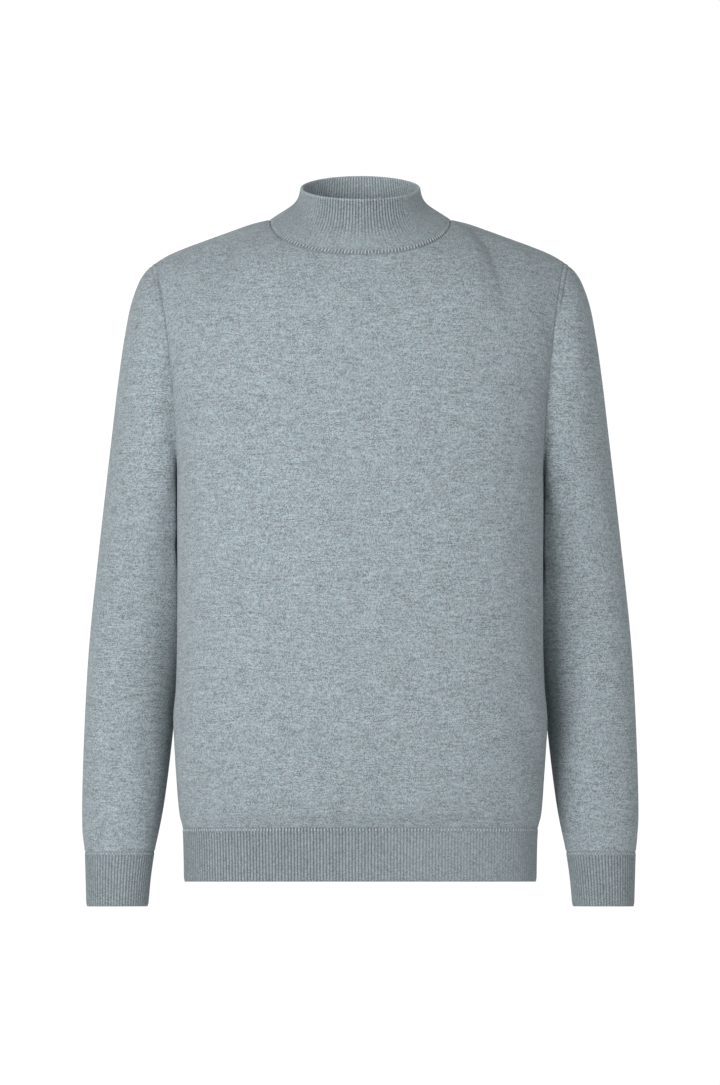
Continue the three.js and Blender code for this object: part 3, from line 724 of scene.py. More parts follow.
def panel_grid(side):
    """A panel's points: sections below the chest line, then the bends of the yoke above it. The front
    runs from left to right and the back from right to left, so that both face outwards."""
    place = spread(PANEL_STEP, PANEL_SPAN, EDGE_STEPS) / (PANEL_SPAN / 2) - 1
    number = place * PANEL_EDGE * (1 if side == "front" else -1)
    heights = spread(PANEL_STEP, CHEST - RIB_TOP, EDGE_STEPS) + RIB_TOP
    heights = heights[heights < CHEST - 1]
    rise = spread(PANEL_STEP, YOKE_SPAN, EDGE_STEPS) / YOKE_SPAN
    plain = len(EDGE_STEPS) + 1
    rise = np.concatenate([np.linspace(0, rise[plain], LOW_YOKE_ROWS)[:-1], rise[plain:]])
    lower = body_point(side, heights[:, None], number[None] / PANEL_EDGE)
    upper = yoke_point(side, number[None] + 0 * rise[:, None], rise[:, None] + 0 * number[None])
    return np.concatenate([lower, upper])


def press_panel(points, folds):
    """Pushes a panel's folds and the dips along its four edges into its grid."""
    depth = fold_depths(folds, points[..., 0], points[..., 2])
    sides = np.minimum(distances(points, 1), from_end(points, 1))
    ends = np.minimum(distances(points), from_end(points))
    fade = smooth_step(np.minimum(sides, ends) / FOLD_FADE)
    dip = np.maximum(seam_dip(sides), seam_dip(ends)) * seam_strength(points)
    return points - outward(points, False) * (depth * fade + dip)[..., None]


panel_pieces = {}
for side, folds in zip(SIDES, (FRONT_FOLDS, BACK_FOLDS)):
    panel = press_panel(panel_grid(side), folds)
    panel_pieces[side] = shell(side + "_jersey", panel, JERSEY_WALL, False, jersey, start=YARN_START[side])

# %% [markdown]
# ## Sleeves
#
# A sleeve is a tube from the armhole to the cuff. Its rings are tilted superellipses, the first ones
# blended from the armhole's own outline, and its inner side gives way softly to the side of the body.

# %% Sizes of the sleeves
SLEEVE_NAMES = "ring out_x out_z in_x in_z front_y back_y lean fall"
SLEEVE = table(
    SLEEVE_NAMES,
    (0, 215.5, -45, 192, -268, -49, 49, 0, 0),
    (1, 224.0, -52, 192.3, -270.5, -50.3, 52, 0.01, 0),
    (2, 230.6, -61, 191, -274, -51.6, 55, 0.02, 0),
    (3, 240.9, -88, 189, -284, -52.5, 62, 0.04, 0),
    (4, 248.0, -125, 185, -297, -49.5, 70, 0.06, 0),
    (5, 254.6, -172, 180, -311, -42.5, 79, 0.08, 0),
    (6, 260.6, -222, 174, -328, -34, 87, 0.1, 0),
    (7, 266.6, -272, 169, -348, -27.5, 93, 0.12, 0),
    (8, 272.1, -318, 167, -370, -22, 95.5, 0.12, 0),
    (9, 277.1, -362, 168, -395, -19, 93.5, 0.12, 0),
    (10, 281.8, -405, 177, -426, -17, 88, 0.12, 0),
    (11, 286.0, -450, 186, -464, -17, 79, 0.1, 0),
    (12, 289.1, -496, 194.2, -505, -18, 72, 0.06, 0.01),
    (13, 291.1, -540, 198.2, -545, -21, 65, 0.02, 0.03),
    (14, 292.3, -580, 202.4, -583, -25, 57, 0, 0.05),
    (15, 292.7, -614, 206.8, -616, -29, 50, 0, 0.07),
    (16, 292.2, -640, 211.4, -641, -31, 44, 0, 0.08),
    (17, 289.2, -664, 216.4, -664, -33, 38, 0, 0.08),
)
CUFF = table(
    SLEEVE_NAMES,
    (0, 289.2, -664, 216.4, -664, -33, 38, 0, 0.08),
    (1, 288.4, -692, 220.2, -692, -32, 36, 0, 0.08),
    (2, 287.6, -720.6, 222.8, -720.6, -31, 34, 0, 0.08),
)
SLEEVE_SQUARENESS, CAP_RINGS = 2.15, 6
# How far a sleeve stays off the body, how softly it gives way, and where below the armhole that sets in
SLEEVE_CLEARANCE, SLEEVE_SOFTNESS, CLEAR_START, CLEAR_FADE = 0.5, 1.8, UNDERARM + 4, 12
# Heights of the armhole seam below the chest line, against the twelfths of a half turn round the sleeve
ARMHOLE_TURN = table("turn z", (7, CHEST), (8, -178), (9, -208), (10, -238), (11, -257), (12, UNDERARM))
YOKE_TWELFTHS = 7
# The middle line and the mean radius of a sleeve, round which its rows of stitches are counted
SLEEVE_LINE = table(
    "z x y radius",
    (-725, 254, 1, 34),
    (-664, 253, 2.5, 37),
    (-580, 247, 17, 41),
    (-450, 237, 32, 48),
    (-318, 228, 34, 53),
    (-222, 217, 26, 54),
    (-125, 204, 14, 50),
    (-88, 196, 9, 47),
    (-45, 172, 6, 44),
)

# %% Points on a sleeve
def ring_point(rings, ring, turn):
    """Points of a sleeve: a superellipse between the ring's outermost and innermost points, which slants
    with its lean and its fall. turn is 0 outside, a quarter turn at the front and a half turn inside."""
    now = {name: column(rings, "ring", name)(ring) for name in SLEEVE_NAMES.split()[1:]}
    power = 2 / SLEEVE_SQUARENESS
    outwards = np.sign(np.cos(turn)) * np.abs(np.cos(turn)) ** power
    forwards = np.sign(np.sin(turn)) * np.abs(np.sin(turn)) ** power
    forward = (now["back_y"] - now["front_y"]) / 2 * forwards
    x = (now["out_x"] + now["in_x"]) / 2 + (now["out_x"] - now["in_x"]) / 2 * outwards
    z = (now["out_z"] + now["in_z"]) / 2 + (now["out_z"] - now["in_z"]) / 2 * outwards
    y = (now["front_y"] + now["back_y"]) / 2 - forward
    return np.stack(np.broadcast_arrays(x + now["lean"] * forward, y, z + now["fall"] * forward), -1)


def armhole_point(turn):
    """The armhole seam at each turn round the sleeve: up to seven twelfths of the way to the underarm it
    follows the yoke's edge, then the edge of the sections."""
    twelfths = np.abs((turn + np.pi) % (2 * np.pi) - np.pi) * 12 / np.pi
    height = column(ARMHOLE_TURN, "turn", "z")(twelfths)
    rise = 1 - np.clip(twelfths / YOKE_TWELFTHS, 0, 1)
    edge = np.full_like(turn, PANEL_EDGE)
    points = {}
    for side in SIDES:
        yoke, lower = yoke_point(side, edge, rise), body_point(side, height, 1.0)
        points[side] = np.where((twelfths < YOKE_TWELFTHS)[..., None], yoke, lower)
    return np.where((np.sin(turn) >= 0)[..., None], points["front"], points["back"])


def clear_of_body(points):
    """Moves points out of the side of the body: x becomes the softer of itself and the body's half width
    at that height and depth. Near the armhole the push fades out."""
    x, y, z = np.moveaxis(points, -1, 0)
    middle = body_middle(z)
    front, back = (y - middle) / (reach["front"](z) - middle), (y - middle) / (reach["back"](z) - middle)
    share = np.where(y < middle, roundness(np.clip(front, -1, 1), SQUARENESS["front"]),
                     roundness(np.clip(back, -1, 1), SQUARENESS["back"]))
    limit = body_width(z) * share + SLEEVE_CLEARANCE
    excess = x - limit
    pushed = limit + (excess + np.hypot(excess, SLEEVE_SOFTNESS)) / 2
    fade = smooth_step((CLEAR_START - z) / CLEAR_FADE)
    return np.stack([x + (pushed - x) * fade, y, z], -1)


def tube_map(points):
    """The cloth map of a sleeve, whose rows of stitches lie level: up is the height, and along is the
    angle round the sleeve's middle line, counted from outside, times its mean radius at that height."""
    height = points[..., 2]
    middle_x, middle_y, radius = (column(SLEEVE_LINE, "z", name)(height) for name in ("x", "y", "radius"))
    angle = np.unwrap(np.arctan2(points[..., 1] - middle_y, np.abs(points[..., 0]) - middle_x), axis=1)
    whole_turns = np.round(angle[:, points.shape[1] // 2, None] / (2 * np.pi)) * 2 * np.pi
    return radius * (angle - whole_turns), height


# %% Right and left sleeve
SLEEVE_ROWS, SLEEVE_COLUMNS, FINE_RINGS = 200, 116, 900
# How much a sleeve's rim at the armhole swells towards the panels, to shut the seam
ARMHOLE_SWELL = 1.3
# Turn round the sleeve, middle z, turn from upright, half length, half width, bend and depth
RIGHT_SLEEVE_FOLDS = (
    (126, -368, 64, 32, 9, 0.4, 2.0),
    (118, -384, 80, 26, 7, -0.3, 1.5),
    (96, -374, 92, 34, 6, 0.3, 1.0),
    (60, -352, 100, 30, 7, 0.2, 0.7),
    (252, -390, 76, 40, 12, 0.3, 3.5),
    (238, -352, 62, 34, 10, -0.3, 2.0),
    (40, -470, 20, 46, 9, 0.4, 1.2),
    (100, -540, -16, 50, 10, 0.3, 1.0),
    (130, -300, 30, 40, 9, 0.3, 1.4),
    (300, -560, 14, 44, 10, -0.4, 1.4),
    (75, -640, 84, 26, 6, 0.4, 0.9),
    (20, -648, -78, 22, 6, 0.3, 0.8),
    (150, -655, 70, 20, 5, 0.3, 0.8),
    (285, -642, 80, 26, 7, 0.3, 1.1),
)
LEFT_SLEEVE_FOLDS = (
    (126, -345, 66, 34, 9, 0.4, 2.0),
    (112, -362, 84, 28, 7, -0.3, 1.4),
    (70, -448, 14, 52, 9, 0.5, 1.5),
    (88, -410, 40, 34, 8, 0.4, 1.0),
    (250, -384, 80, 36, 13, 0.3, 2.4),
    (262, -408, 64, 34, 10, -0.3, 1.8),
    (120, -560, -14, 46, 9, -0.3, 1.1),
    (36, -600, 18, 40, 9, 0.3, 0.9),
    (132, -292, 32, 36, 9, 0.3, 1.2),
    (310, -520, -16, 50, 10, 0.4, 1.5),
    (60, -642, -80, 24, 6, 0.3, 0.9),
    (110, -650, 74, 22, 6, 0.4, 0.9),
    (275, -648, -82, 26, 7, 0.3, 1.0),
)
# Millimetres of cloth to a radian round the sleeve, in which a fold's width is measured
TURN_LENGTH = 48
# The band of fashioned stitches beside the armhole: height, distance from the seam and width of its ridge
# and of the groove below it, and where down the armhole it ends
BAND_RIDGE, BAND_GROOVE = (0.45, 2.8, 1.5), (0.8, 5.6, 0.8)
BAND_END, BAND_FADE = -100, 6


def mirrored(points):
    """The same grid on the other side of the body, its columns reversed so that it still faces out."""
    other = points * np.array([-1, 1, 1])
    return np.concatenate([other[:, :1], other[:, :0:-1]], 1)


def sleeve_grid():
    """The right sleeve's points from the cuff up to the armhole, on rings about evenly apart, and each
    column's turn in degrees."""
    ring = np.linspace(0, SLEEVE["ring"][-1], FINE_RINGS)
    edges = [column(SLEEVE, "ring", name)(ring) for name in ("out_x", "out_z", "in_x", "in_z")]
    # The little that is added keeps the lengths rising
    length = summed(np.linalg.norm(np.diff(np.stack(edges), axis=1), axis=0) + 1e-6, 0)
    even = spread(length[-1] / SLEEVE_ROWS, length[-1], EDGE_STEPS)
    ring = np.interp(even, length, ring)[:, None]
    turn = (np.linspace(0, 2 * np.pi, SLEEVE_COLUMNS, endpoint=False) + np.pi)[None]
    offset = armhole_point(turn) - ring_point(SLEEVE, 0 * turn, turn)
    points = ring_point(SLEEVE, ring, turn) + offset * (1 - smooth_step(ring / CAP_RINGS))[..., None]
    cleared = clear_of_body(points)
    cleared[0] = points[0]
    return cleared[::-1, ::-1], np.degrees(turn)[:, ::-1] % 360


def fashioned_band(distance):
    """The form of the cloth in the band: a flat ridge, then a narrow groove."""
    ridge, groove = (high * bell(distance - at, width) for high, at, width in (BAND_RIDGE, BAND_GROOVE))
    return ridge - groove


def press_sleeve(points, turn, folds):
    """Pushes a sleeve's folds and the dips along its two seams into its grid, and raises the narrow band
    of fashioned stitches that runs beside the upper part of the armhole."""
    depth = np.zeros(points.shape[:2])
    for at, z, *form in folds:
        side = ((turn - at + 180) % 360 - 180) * np.pi / 180 * TURN_LENGTH
        depth = depth + fold_depths([(0, z, *form)], side, points[..., 2])
    top, bottom = from_end(points), distances(points)
    fade = smooth_step(np.minimum(top, bottom) / FOLD_FADE)
    strength = seam_strength(points)
    band = fashioned_band(top) * smooth_step((points[..., 2] - BAND_END) / BAND_FADE)
    dip = seam_dip(top) * strength + seam_dip(bottom) - band * strength
    return points - outward(points, True) * (depth * fade + dip)[..., None]


plain_sleeve, sleeve_turn = sleeve_grid()
sleeves = {
    "right": press_sleeve(plain_sleeve, sleeve_turn, RIGHT_SLEEVE_FOLDS),
    "left": press_sleeve(mirrored(plain_sleeve), np.roll(sleeve_turn[:, ::-1], 1, 1), LEFT_SLEEVE_FOLDS),
}
sleeve_pieces = {
    side: shell(f"sleeve_{side}_jersey", sleeves[side], JERSEY_WALL, True, jersey, stitches=tube_map,
                start=YARN_START[side], last_swell=ARMHOLE_SWELL)
    for side in HANDS
}

# %% [markdown]
# ## Hem and cuffs
#
# The hem rib and the cuffs pull the cloth in. Their ridges run up and down at an even pitch, so the grid's
# columns are placed by length along the rib and not by angle, with eight columns to a ridge.

# %% Rib helpers
SAMPLES, RIB_WALL, RIB_RELIEF = 8, 2.0, 0.6
# How far apart a rib's rows are, the short steps at its edges, and the points that measure its outline
RIB_STEP, RIB_EDGE_STEPS, OUTLINE_POINTS = 5.5, (0.8, 1.0, 1.4, 2.0), 2401
# The part of a ridge's height that lies level with the plain cloth
RIDGE_LEVEL = 0.75
# How far up from its free edge a rib's relief grows, how deep its linked edge dips, and how far and over
# what length the free edge rolls in
EDGE_GROWTH, LINKED_DIP, EDGE_ROLL, EDGE_ROLL_WIDTH = 6, 0.7, 0.5, 2
# How much of the painted groove shade shows round the rims and on the inner face, where its grooves stand out
RIM_SHADING, INNER_SHADING = 0.8, 0.8


def evenly(points, count):
    """Where along a line of points to find count evenly spaced ones, as places between 0 and its end."""
    length = distances(points)
    return np.interp(np.linspace(0, length[-1], count), length, np.arange(len(points)))


def ridges(count):
    """How high on a ridge each of count columns lies: a rounded top with a narrow groove on each side."""
    return np.abs(np.cos(np.pi * (np.arange(count) / SAMPLES))) ** 0.75


def groove_shade_loop(outer_rows, ridge, strength):
    """The ridge height all the way round a shell's loop of rows, as its painted shade shows it: dark in the
    grooves.
    """
    shares = [(outer_rows, strength), (RIM_STEPS, RIM_SHADING), (outer_rows, INNER_SHADING), (RIM_STEPS, RIM_SHADING)]
    share = np.concatenate([np.ones((rows, len(ridge))) * part for rows, part in shares])
    inside = np.arange(len(share)) >= outer_rows + RIM_STEPS
    wave = np.where(inside[:, None], 1 - ridge[None], ridge[None])
    return 1 + (wave - 1) * share


def rib_piece(name, base, wraps, *, edge_share, opened, groove_shade_share, inner_relief):
    """A rib with its ridges lifted out by a share that grows from edge_share at its free edge to opened.
    It is pulled in a little where it is linked on and rolls in at its free edge. Its grooves are painted
    darker, as shade. The lifted grid comes with the piece, for the stitches."""
    ridge = ridges(base.shape[1])
    low, high = distances(base), from_end(base)
    strength = (edge_share + (1 - edge_share) * smooth_step(low / EDGE_GROWTH)) * opened
    lift = RIB_RELIEF * (ridge[None] - RIDGE_LEVEL) * strength
    lift = lift - seam_dip(high, LINKED_DIP) - EDGE_ROLL * bell(low, EDGE_ROLL_WIDTH)
    inner_lift = -inner_relief * (ridge[None] - 0.5) * np.ones_like(lift)
    piece = shell(name, base, RIB_WALL, wraps, rib, lift=lift, inner_lift=inner_lift, first_swell=1.0)
    paint_rib_shading(piece, groove_shade_loop(len(base), ridge, groove_shade_share))
    return base + outward(base, wraps) * lift[..., None], piece


# %% Hem ribs
# The ridges show less where the rib is pulled open: mean share, its wave, and that wave's place and width
SHARE_MEAN, SHARE_WAVE, WAVE_X, WAVE_WIDTH = 0.68, 0.32, -105, 95


def hem_rib(side):
    """Half of the hem rib: the body's own sections, with columns at an even pitch and ridges lifted out."""
    across = np.linspace(-1, 1, OUTLINE_POINTS) * (1 if side == "front" else -1)
    middle_line = body_point(side, (HEM_BOTTOM + RIB_TOP) / 2, across)
    count = int(round(distances(middle_line)[-1] / RIB_PITCH)) * SAMPLES + 1
    across = np.interp(evenly(middle_line, count), np.arange(len(across)), across)
    heights = HEM_BOTTOM + spread(RIB_STEP, RIB_TOP - HEM_BOTTOM, RIB_EDGE_STEPS)
    base = body_point(side, heights[:, None], across[None])
    opened = SHARE_MEAN + SHARE_WAVE * np.cos((base[0, :, 0] - WAVE_X) / WAVE_WIDTH)
    return rib_piece(f"hem_rib_{side}_knit", base, False, edge_share=0.55, opened=opened, groove_shade_share=opened,
                     inner_relief=0.4)


hem_grids, hem_pieces = {}, {}
for side in SIDES:
    hem_grids[side], hem_pieces[side] = hem_rib(side)

# %% Cuffs
CUFF_RIBS, CUFF_LENGTH = 68, 56.6


def cuff_grid():
    """The right cuff's points from its opening up to the sleeve, with columns at an even pitch."""
    turn = np.linspace(0, 2 * np.pi, OUTLINE_POINTS) + np.pi
    line = ring_point(CUFF, np.full_like(turn, 1.0), turn)
    places = evenly(line, CUFF_RIBS * SAMPLES + 1)
    turn = np.interp(places[:-1], np.arange(len(turn)), turn)
    ring = (spread(RIB_STEP, CUFF_LENGTH, RIB_EDGE_STEPS) / CUFF_LENGTH * CUFF["ring"][-1])[:, None]
    length = distances(line)[-1]
    print("cuff", round(length), "mm round, ribs", CUFF_RIBS, "pitch", round(length / CUFF_RIBS, 2))
    return ring_point(CUFF, ring, turn[None])[::-1, ::-1]


plain_cuff = cuff_grid()
cuff_grids, cuff_pieces = {}, {}
for side, base in (("right", plain_cuff), ("left", mirrored(plain_cuff))):
    cuff_grids[side], cuff_pieces[side] = rib_piece(f"cuff_{side}_knit", base, True, edge_share=0.5,
                                                    opened=1, groove_shade_share=0.9, inner_relief=0.35)

# %% [markdown]
# ## Collar
#
# The collar is a strip of rib, folded over at the top and linked to the neck. It stands up round the neck
# and flares out to the seam. Its profile is a Bezier curve for each column, from the neck seam up to the
# fold, and the fold itself is the rounded rim of the shell.

# %% Lines of the collar
RIM_HALF_WIDTH, RIM_MID_Y, RIM_HALF_DEPTH, RIM_MID_Z, RIM_RISE = 63, 3, 69, 33, 0.255
RIM_FALL, RIM_SPREAD, SEAM_RISE, SEAM_SPREAD = 0.56, 0.08, 0.47, 0.7
LINE_POINTS = 6001


def rim_point(angle):
    """Points of the fold: a tilted ellipse."""
    y = -RIM_HALF_DEPTH * np.cos(angle)
    return np.stack([RIM_HALF_WIDTH * np.sin(angle), RIM_MID_Y + y, RIM_MID_Z + y * RIM_RISE], -1)


def neck_seam(angle):
    """Points of the whole neck seam: angle is 0 at the centre front and runs all the way round."""
    front, back = neck_point("front", angle), neck_point("back", np.pi - angle)
    return np.where((np.cos(angle) >= 0)[..., None], front, back)


def collar_angles(count):
    """Angles for count columns, spaced so that the mean of the pitches at the fold and the seam is even."""
    angle = np.linspace(-np.pi, np.pi, LINE_POINTS)
    lengths = [distances(line) for line in (rim_point(angle), neck_seam(angle))]
    share = sum(length / length[-1] for length in lengths) / 2
    print("collar", [round(length[-1]) for length in lengths], "mm round at the fold and the seam")
    return np.interp(np.arange(count) / count, share, angle)


def collar_grid(angle, t):
    """Bezier curves from the seam to the fold. Their handles are shares of the fall and the spread."""
    seam, fold = neck_seam(angle), rim_point(angle)
    fall = (fold - seam)[..., 2]
    seam_handle = seam + (fold - seam) * SEAM_SPREAD
    seam_handle[..., 2] = seam[..., 2] + fall * SEAM_RISE
    fold_handle = fold + (seam - fold) * RIM_SPREAD
    fold_handle[..., 2] = fold[..., 2] - fall * RIM_FALL
    t = t[:, None, None]
    return (seam * (1 - t) ** 3 + 3 * seam_handle * t * (1 - t) ** 2
            + 3 * fold_handle * t * t * (1 - t) + fold * t**3)


# %% Collar
COLLAR_WALL, COLLAR_RIBS, COLLAR_STEPS = 3.0, 134, 28
COLLAR_EDGE_STEPS = (0.008, 0.01, 0.012, 0.015, 0.02)
# How high the ridges stand from the seam up to the fold
COLLAR_RELIEF = table("t relief", (0, 0.05), (0.12, 0.1), (0.3, 0.2), (0.5, 0.5), (1, 0.8))
# How much of them is lost at both sides of the neck, and the sines of the angle between which it goes
SIDE_LOSS, LOSS_START, LOSS_END = 0.7, 0.5, 0.85
# Height of the roll above the seam, its distance and width, and how wide and dark its shade is
ROLL, ROLL_AT, ROLL_WIDTH, SHADE_WIDTH, SHADE = 0.4, 2.2, 1.8, 2.2, 0.6
# The relief at which the painted shade in the grooves is full, and how strong and how wide the painted
# highlight along the fold is
FULL_RELIEF, FOLD_LIGHT, FOLD_WIDTH = 0.68, 0.5, 1.0
# Relief and level of the inner face's ridges, then its painted shade in the grooves and its painted light on
# the ridges, which lifts the shaded inside of the neck, and the painted highlight on the fold's ridges
INNER_RELIEF, INNER_LEVEL, INNER_GROOVE_SHADE, INNER_RIDGE_LIGHT, FOLD_RIDGE_HIGHLIGHT = 0.5, 0.7, 0.3, 1.2, 0.5
# How far the lower rim and the fold swell, as shares of half the wall
LOWER_SWELL, FOLD_SWELL = 0.2, 0.9


def make_collar():
    """The collar's grid and its piece. Ridges fade towards the seam and both sides, and a small roll above
    the seam stands out in front and behind and sinks in at the sides. Painted shade and light follow the loop
    of rows: on the outer face shade in the grooves and along the roll and a highlight at the fold, on the
    fold a highlight on its ridges, on the inner face painted light, and on the lower rim shade in the
    grooves."""
    turn = collar_angles(COLLAR_RIBS * SAMPLES)
    rise = spread(1 / COLLAR_STEPS, 1, COLLAR_EDGE_STEPS)
    base = collar_grid(turn, rise)
    ridge = ridges(len(turn))[None]
    kept = 1 - SIDE_LOSS * smooth_step((np.abs(np.sin(turn)) - LOSS_START) / (LOSS_END - LOSS_START))[None]
    relief = column(COLLAR_RELIEF, "t", "relief")(rise)[:, None] * kept
    from_seam = distances(base)
    lift = relief * (ridge - RIDGE_LEVEL) + ROLL * bell(from_seam - ROLL_AT, ROLL_WIDTH) * (2 * kept - 1)
    inner_lift = INNER_RELIEF * (ridge - INNER_LEVEL) * np.ones_like(lift)
    piece = shell("collar_knit", base, COLLAR_WALL, True, rib, lift=lift, inner_lift=inner_lift,
                  first_swell=LOWER_SWELL, last_swell=FOLD_SWELL)
    # Painted shade in the grooves and along the roll, and a painted highlight at the fold
    outer = 1 + (ridge - 1) * relief / FULL_RELIEF - SHADE * bell(from_seam - ROLL_AT, SHADE_WIDTH)
    outer = outer + FOLD_LIGHT * bell(from_end(base), FOLD_WIDTH)
    rim = np.ones((RIM_STEPS, 1))
    # The inner face is painted lighter than the shade inside the neck would leave it
    inner = np.ones((len(rise), 1)) * (INNER_GROOVE_SHADE + INNER_RIDGE_LIGHT * ridge)
    paint_rib_shading(piece, np.concatenate([outer, rim * (1 + FOLD_RIDGE_HIGHLIGHT * ridge), inner, rim * ridge]))
    return base, piece


collar_base, collar_piece = make_collar()

# %% [markdown]
# ## Linking stitches
#
# Where a rib is linked on, a row of small loops shows: radial ones round the neck, upright ones along the
# hem and the cuffs, and slanting fashioning marks on the sleeve beside the armhole. Each loop is one
# small grain of yarn, and all the grains of a row are one mesh.

# %% Grains of yarn
GRAIN_RINGS, GRAIN_SIDES = 5, 6


def unit_ball():
    """Points, quads and end faces of a ball: rings of points round its x axis and a point at both ends."""
    latitude = np.pi * np.arange(1, GRAIN_RINGS + 1) / (GRAIN_RINGS + 1)
    turn = 2 * np.pi * np.arange(GRAIN_SIDES) / GRAIN_SIDES
    points = np.stack([
        np.repeat(-np.cos(latitude), GRAIN_SIDES),
        (np.sin(latitude)[:, None] * np.cos(turn)).ravel(),
        (np.sin(latitude)[:, None] * np.sin(turn)).ravel(),
    ], -1)
    points = np.concatenate([points, [[-1, 0, 0], [1, 0, 0]]])
    start, j = np.meshgrid(np.arange(GRAIN_RINGS - 1) * GRAIN_SIDES, np.arange(GRAIN_SIDES), indexing="ij")
    k = (j + 1) % GRAIN_SIDES
    quads = np.stack([start + j, start + k, start + GRAIN_SIDES + k, start + GRAIN_SIDES + j], -1)
    j, k, top = j[0], k[0], (GRAIN_RINGS - 1) * GRAIN_SIDES
    first, last = np.full(GRAIN_SIDES, len(points) - 2), np.full(GRAIN_SIDES, len(points) - 1)
    caps = np.concatenate([np.stack([first, j, k], -1), np.stack([last, top + k, top + j], -1)])
    return points, quads.reshape(-1, 4)[:, ::-1], caps[:, ::-1]


def grains(name, centres, lengthways, upwards, sizes, material):
    """Many small ellipsoids in one mesh. lengthways and upwards are each grain's own directions, and
    sizes its half length, width and height."""
    ball, quads, caps = unit_ball()
    along = unit(lengthways)
    aside = unit(np.cross(upwards, along))
    axes = np.stack([along, aside, np.cross(along, aside)], 1) * np.array(sizes)[:, None]
    points = (centres[:, None] + ball[None] @ axes).reshape(-1, 3)
    step = len(ball) * np.arange(len(centres))[:, None, None]
    quads = (quads[None] + step).reshape(-1, 4)
    caps = (caps[None] + step).reshape(-1, 3)
    places = points[quads.ravel()][:, [0, 2]]
    return mesh_piece(name, points, quads, list(caps), places, len(quads) + len(caps), material)


# %% Stitch yarn
BRIGHT_YARN = (0.37, 0.41, 0.425, 1)


def make_stitch_yarn():
    """The same yarn, a little lighter because the loops stand out into the light."""
    material, shader, node, _ = shader_nodes("stitch_yarn")
    place = node("TexCoord").outputs["Object"]
    tone = node("TexNoise", Vector=place, Scale=420.0, Detail=2.0).outputs[0]
    finish_cloth(shader, mixed(node, grey_steps(node, tone, (0.35, 0), (0.65, 1)), YARN, BRIGHT_YARN))
    return material


stitch_yarn = make_stitch_yarn()

# %% Neck, hem and cuff stitches
NECK_STITCHES, NECK_ROW = 168, 3.0
# How many rows below its seam a hem's or a cuff's stitches lie
LINKING_ROWS = 3.2
# Where a row of stitches turns to its sides, as shares of its grid's half width
SIDE_START, SIDE_FADE = 0.8, 0.18


def seats(grid, row, place, row_reach, place_reach):
    """Where stitches sit on a grid, and the directions up its columns, aside along its rows and out."""
    up = unit(spot(grid, row + row_reach, place) - spot(grid, row - row_reach, place))
    aside = unit(spot(grid, row, place + place_reach) - spot(grid, row, place - place_reach))
    return spot(grid, row, place), up, aside, unit(np.cross(aside, up))


def row_of_stitches(name, grid, wraps, row, count, *, tilt, sizes, lift, side_lift):
    """Grains along one row of a grid, evenly apart. Their length lies up the grid's columns, turned by
    tilt towards its rows, and they stand out by lift along the normals, or by side_lift at both sides."""
    full = np.concatenate([grid, grid[:, :1]], 1) if wraps else grid
    line = spot(full, np.full(full.shape[1], float(row)), np.arange(full.shape[1]) * 1.0)
    places = evenly(line, count + 1)
    places = places[:-1] + (places[1] - places[0]) / 2
    centre, up, aside, normal = seats(full, np.full(count, float(row)), places, row_reach=1.5,
                                      place_reach=0.6)
    lengthways = up * np.cos(np.radians(tilt)) + aside * np.sin(np.radians(tilt))
    width_share = np.abs(centre[:, 0]) / np.abs(grid[..., 0]).max()
    sideways = smooth_step((width_share - SIDE_START) / SIDE_FADE)[:, None]
    centre = centre + normal * (lift + (side_lift - lift) * sideways)
    return grains(name, centre, lengthways, normal, sizes, stitch_yarn)


neck_stitches = row_of_stitches("neck_linking", collar_base, True, NECK_ROW, NECK_STITCHES, tilt=14,
                                sizes=(2.3, 0.75, 0.7), lift=0.4, side_lift=-0.5)
hem_stitches = {
    side: row_of_stitches(f"hem_linking_{side}", grid, False, len(grid) - LINKING_ROWS,
                          grid.shape[1] // SAMPLES, tilt=6, sizes=(1.5, 0.72, 0.6), lift=0.45, side_lift=-0.3)
    for side, grid in hem_grids.items()
}
cuff_stitches = {
    side: row_of_stitches(f"cuff_linking_{side}", grid, True, len(grid) - LINKING_ROWS, CUFF_RIBS,
                          tilt=6, sizes=(1.3, 0.6, 0.5), lift=0.05, side_lift=0.05)
    for side, grid in cuff_grids.items()
}
print("linking stitches", NECK_STITCHES, "round the neck")

# %% Fashioning marks
MARK_PITCH, MARK_START, MARK_ROWS, MARK_SLANT, MARK_LIFT = 3.3, -57, 5.6, 1.3, 0.25


def fashioning_marks(side):
    """Slanting stitches in the raised band on a sleeve, evenly apart down the seam at front and back."""
    grid = sleeves[side]
    line = grid[-1]
    places = []
    for way in (-1, 1):
        half = np.flatnonzero((np.sign(line[:, 1] - shoulder_y(SHOULDER_TIP)) == way)
                              & (line[:, 2] < MARK_START) & (line[:, 2] > BAND_END))
        length = distances(line[half])
        places.append(np.interp(np.arange(1, length[-1], MARK_PITCH), length, half.astype(float)))
    place = np.concatenate(places)
    row = np.full(len(place), len(grid) - MARK_ROWS)
    centre, up, aside, normal = seats(grid, row, place, row_reach=1, place_reach=0.7)
    slant = aside * -np.sign(aside[:, 2:]) - up * MARK_SLANT
    return grains(f"fashioning_marks_{side}", centre + normal * MARK_LIFT, slant, normal, (2.1, 0.6, 0.55),
                  jersey)


marks = {side: fashioning_marks(side) for side in HANDS}

# %% [markdown]
# ## What stands for what
#
# Every new piece rides on the one body, and each piece of cloth replaces the plain solid of the same cloth.
# Half the closed surface of each knitted piece is printed as the area of its cloth.

def dress(piece, node=None):
    """Ties a piece to the frame, and hides the solid that it stands for."""
    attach(piece, "root")
    if node:
        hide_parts(node)


for side in SIDES:
    dress(panel_pieces[side], side + "_panel")
    dress(hem_pieces[side], "hem_rib_" + side)
    dress(hem_stitches[side])
for side in HANDS:
    dress(sleeve_pieces[side], "sleeve_" + side)
    dress(cuff_pieces[side], "cuff_" + side)
    dress(cuff_stitches[side])
    dress(marks[side])
dress(collar_piece, "collar")
dress(neck_stitches)


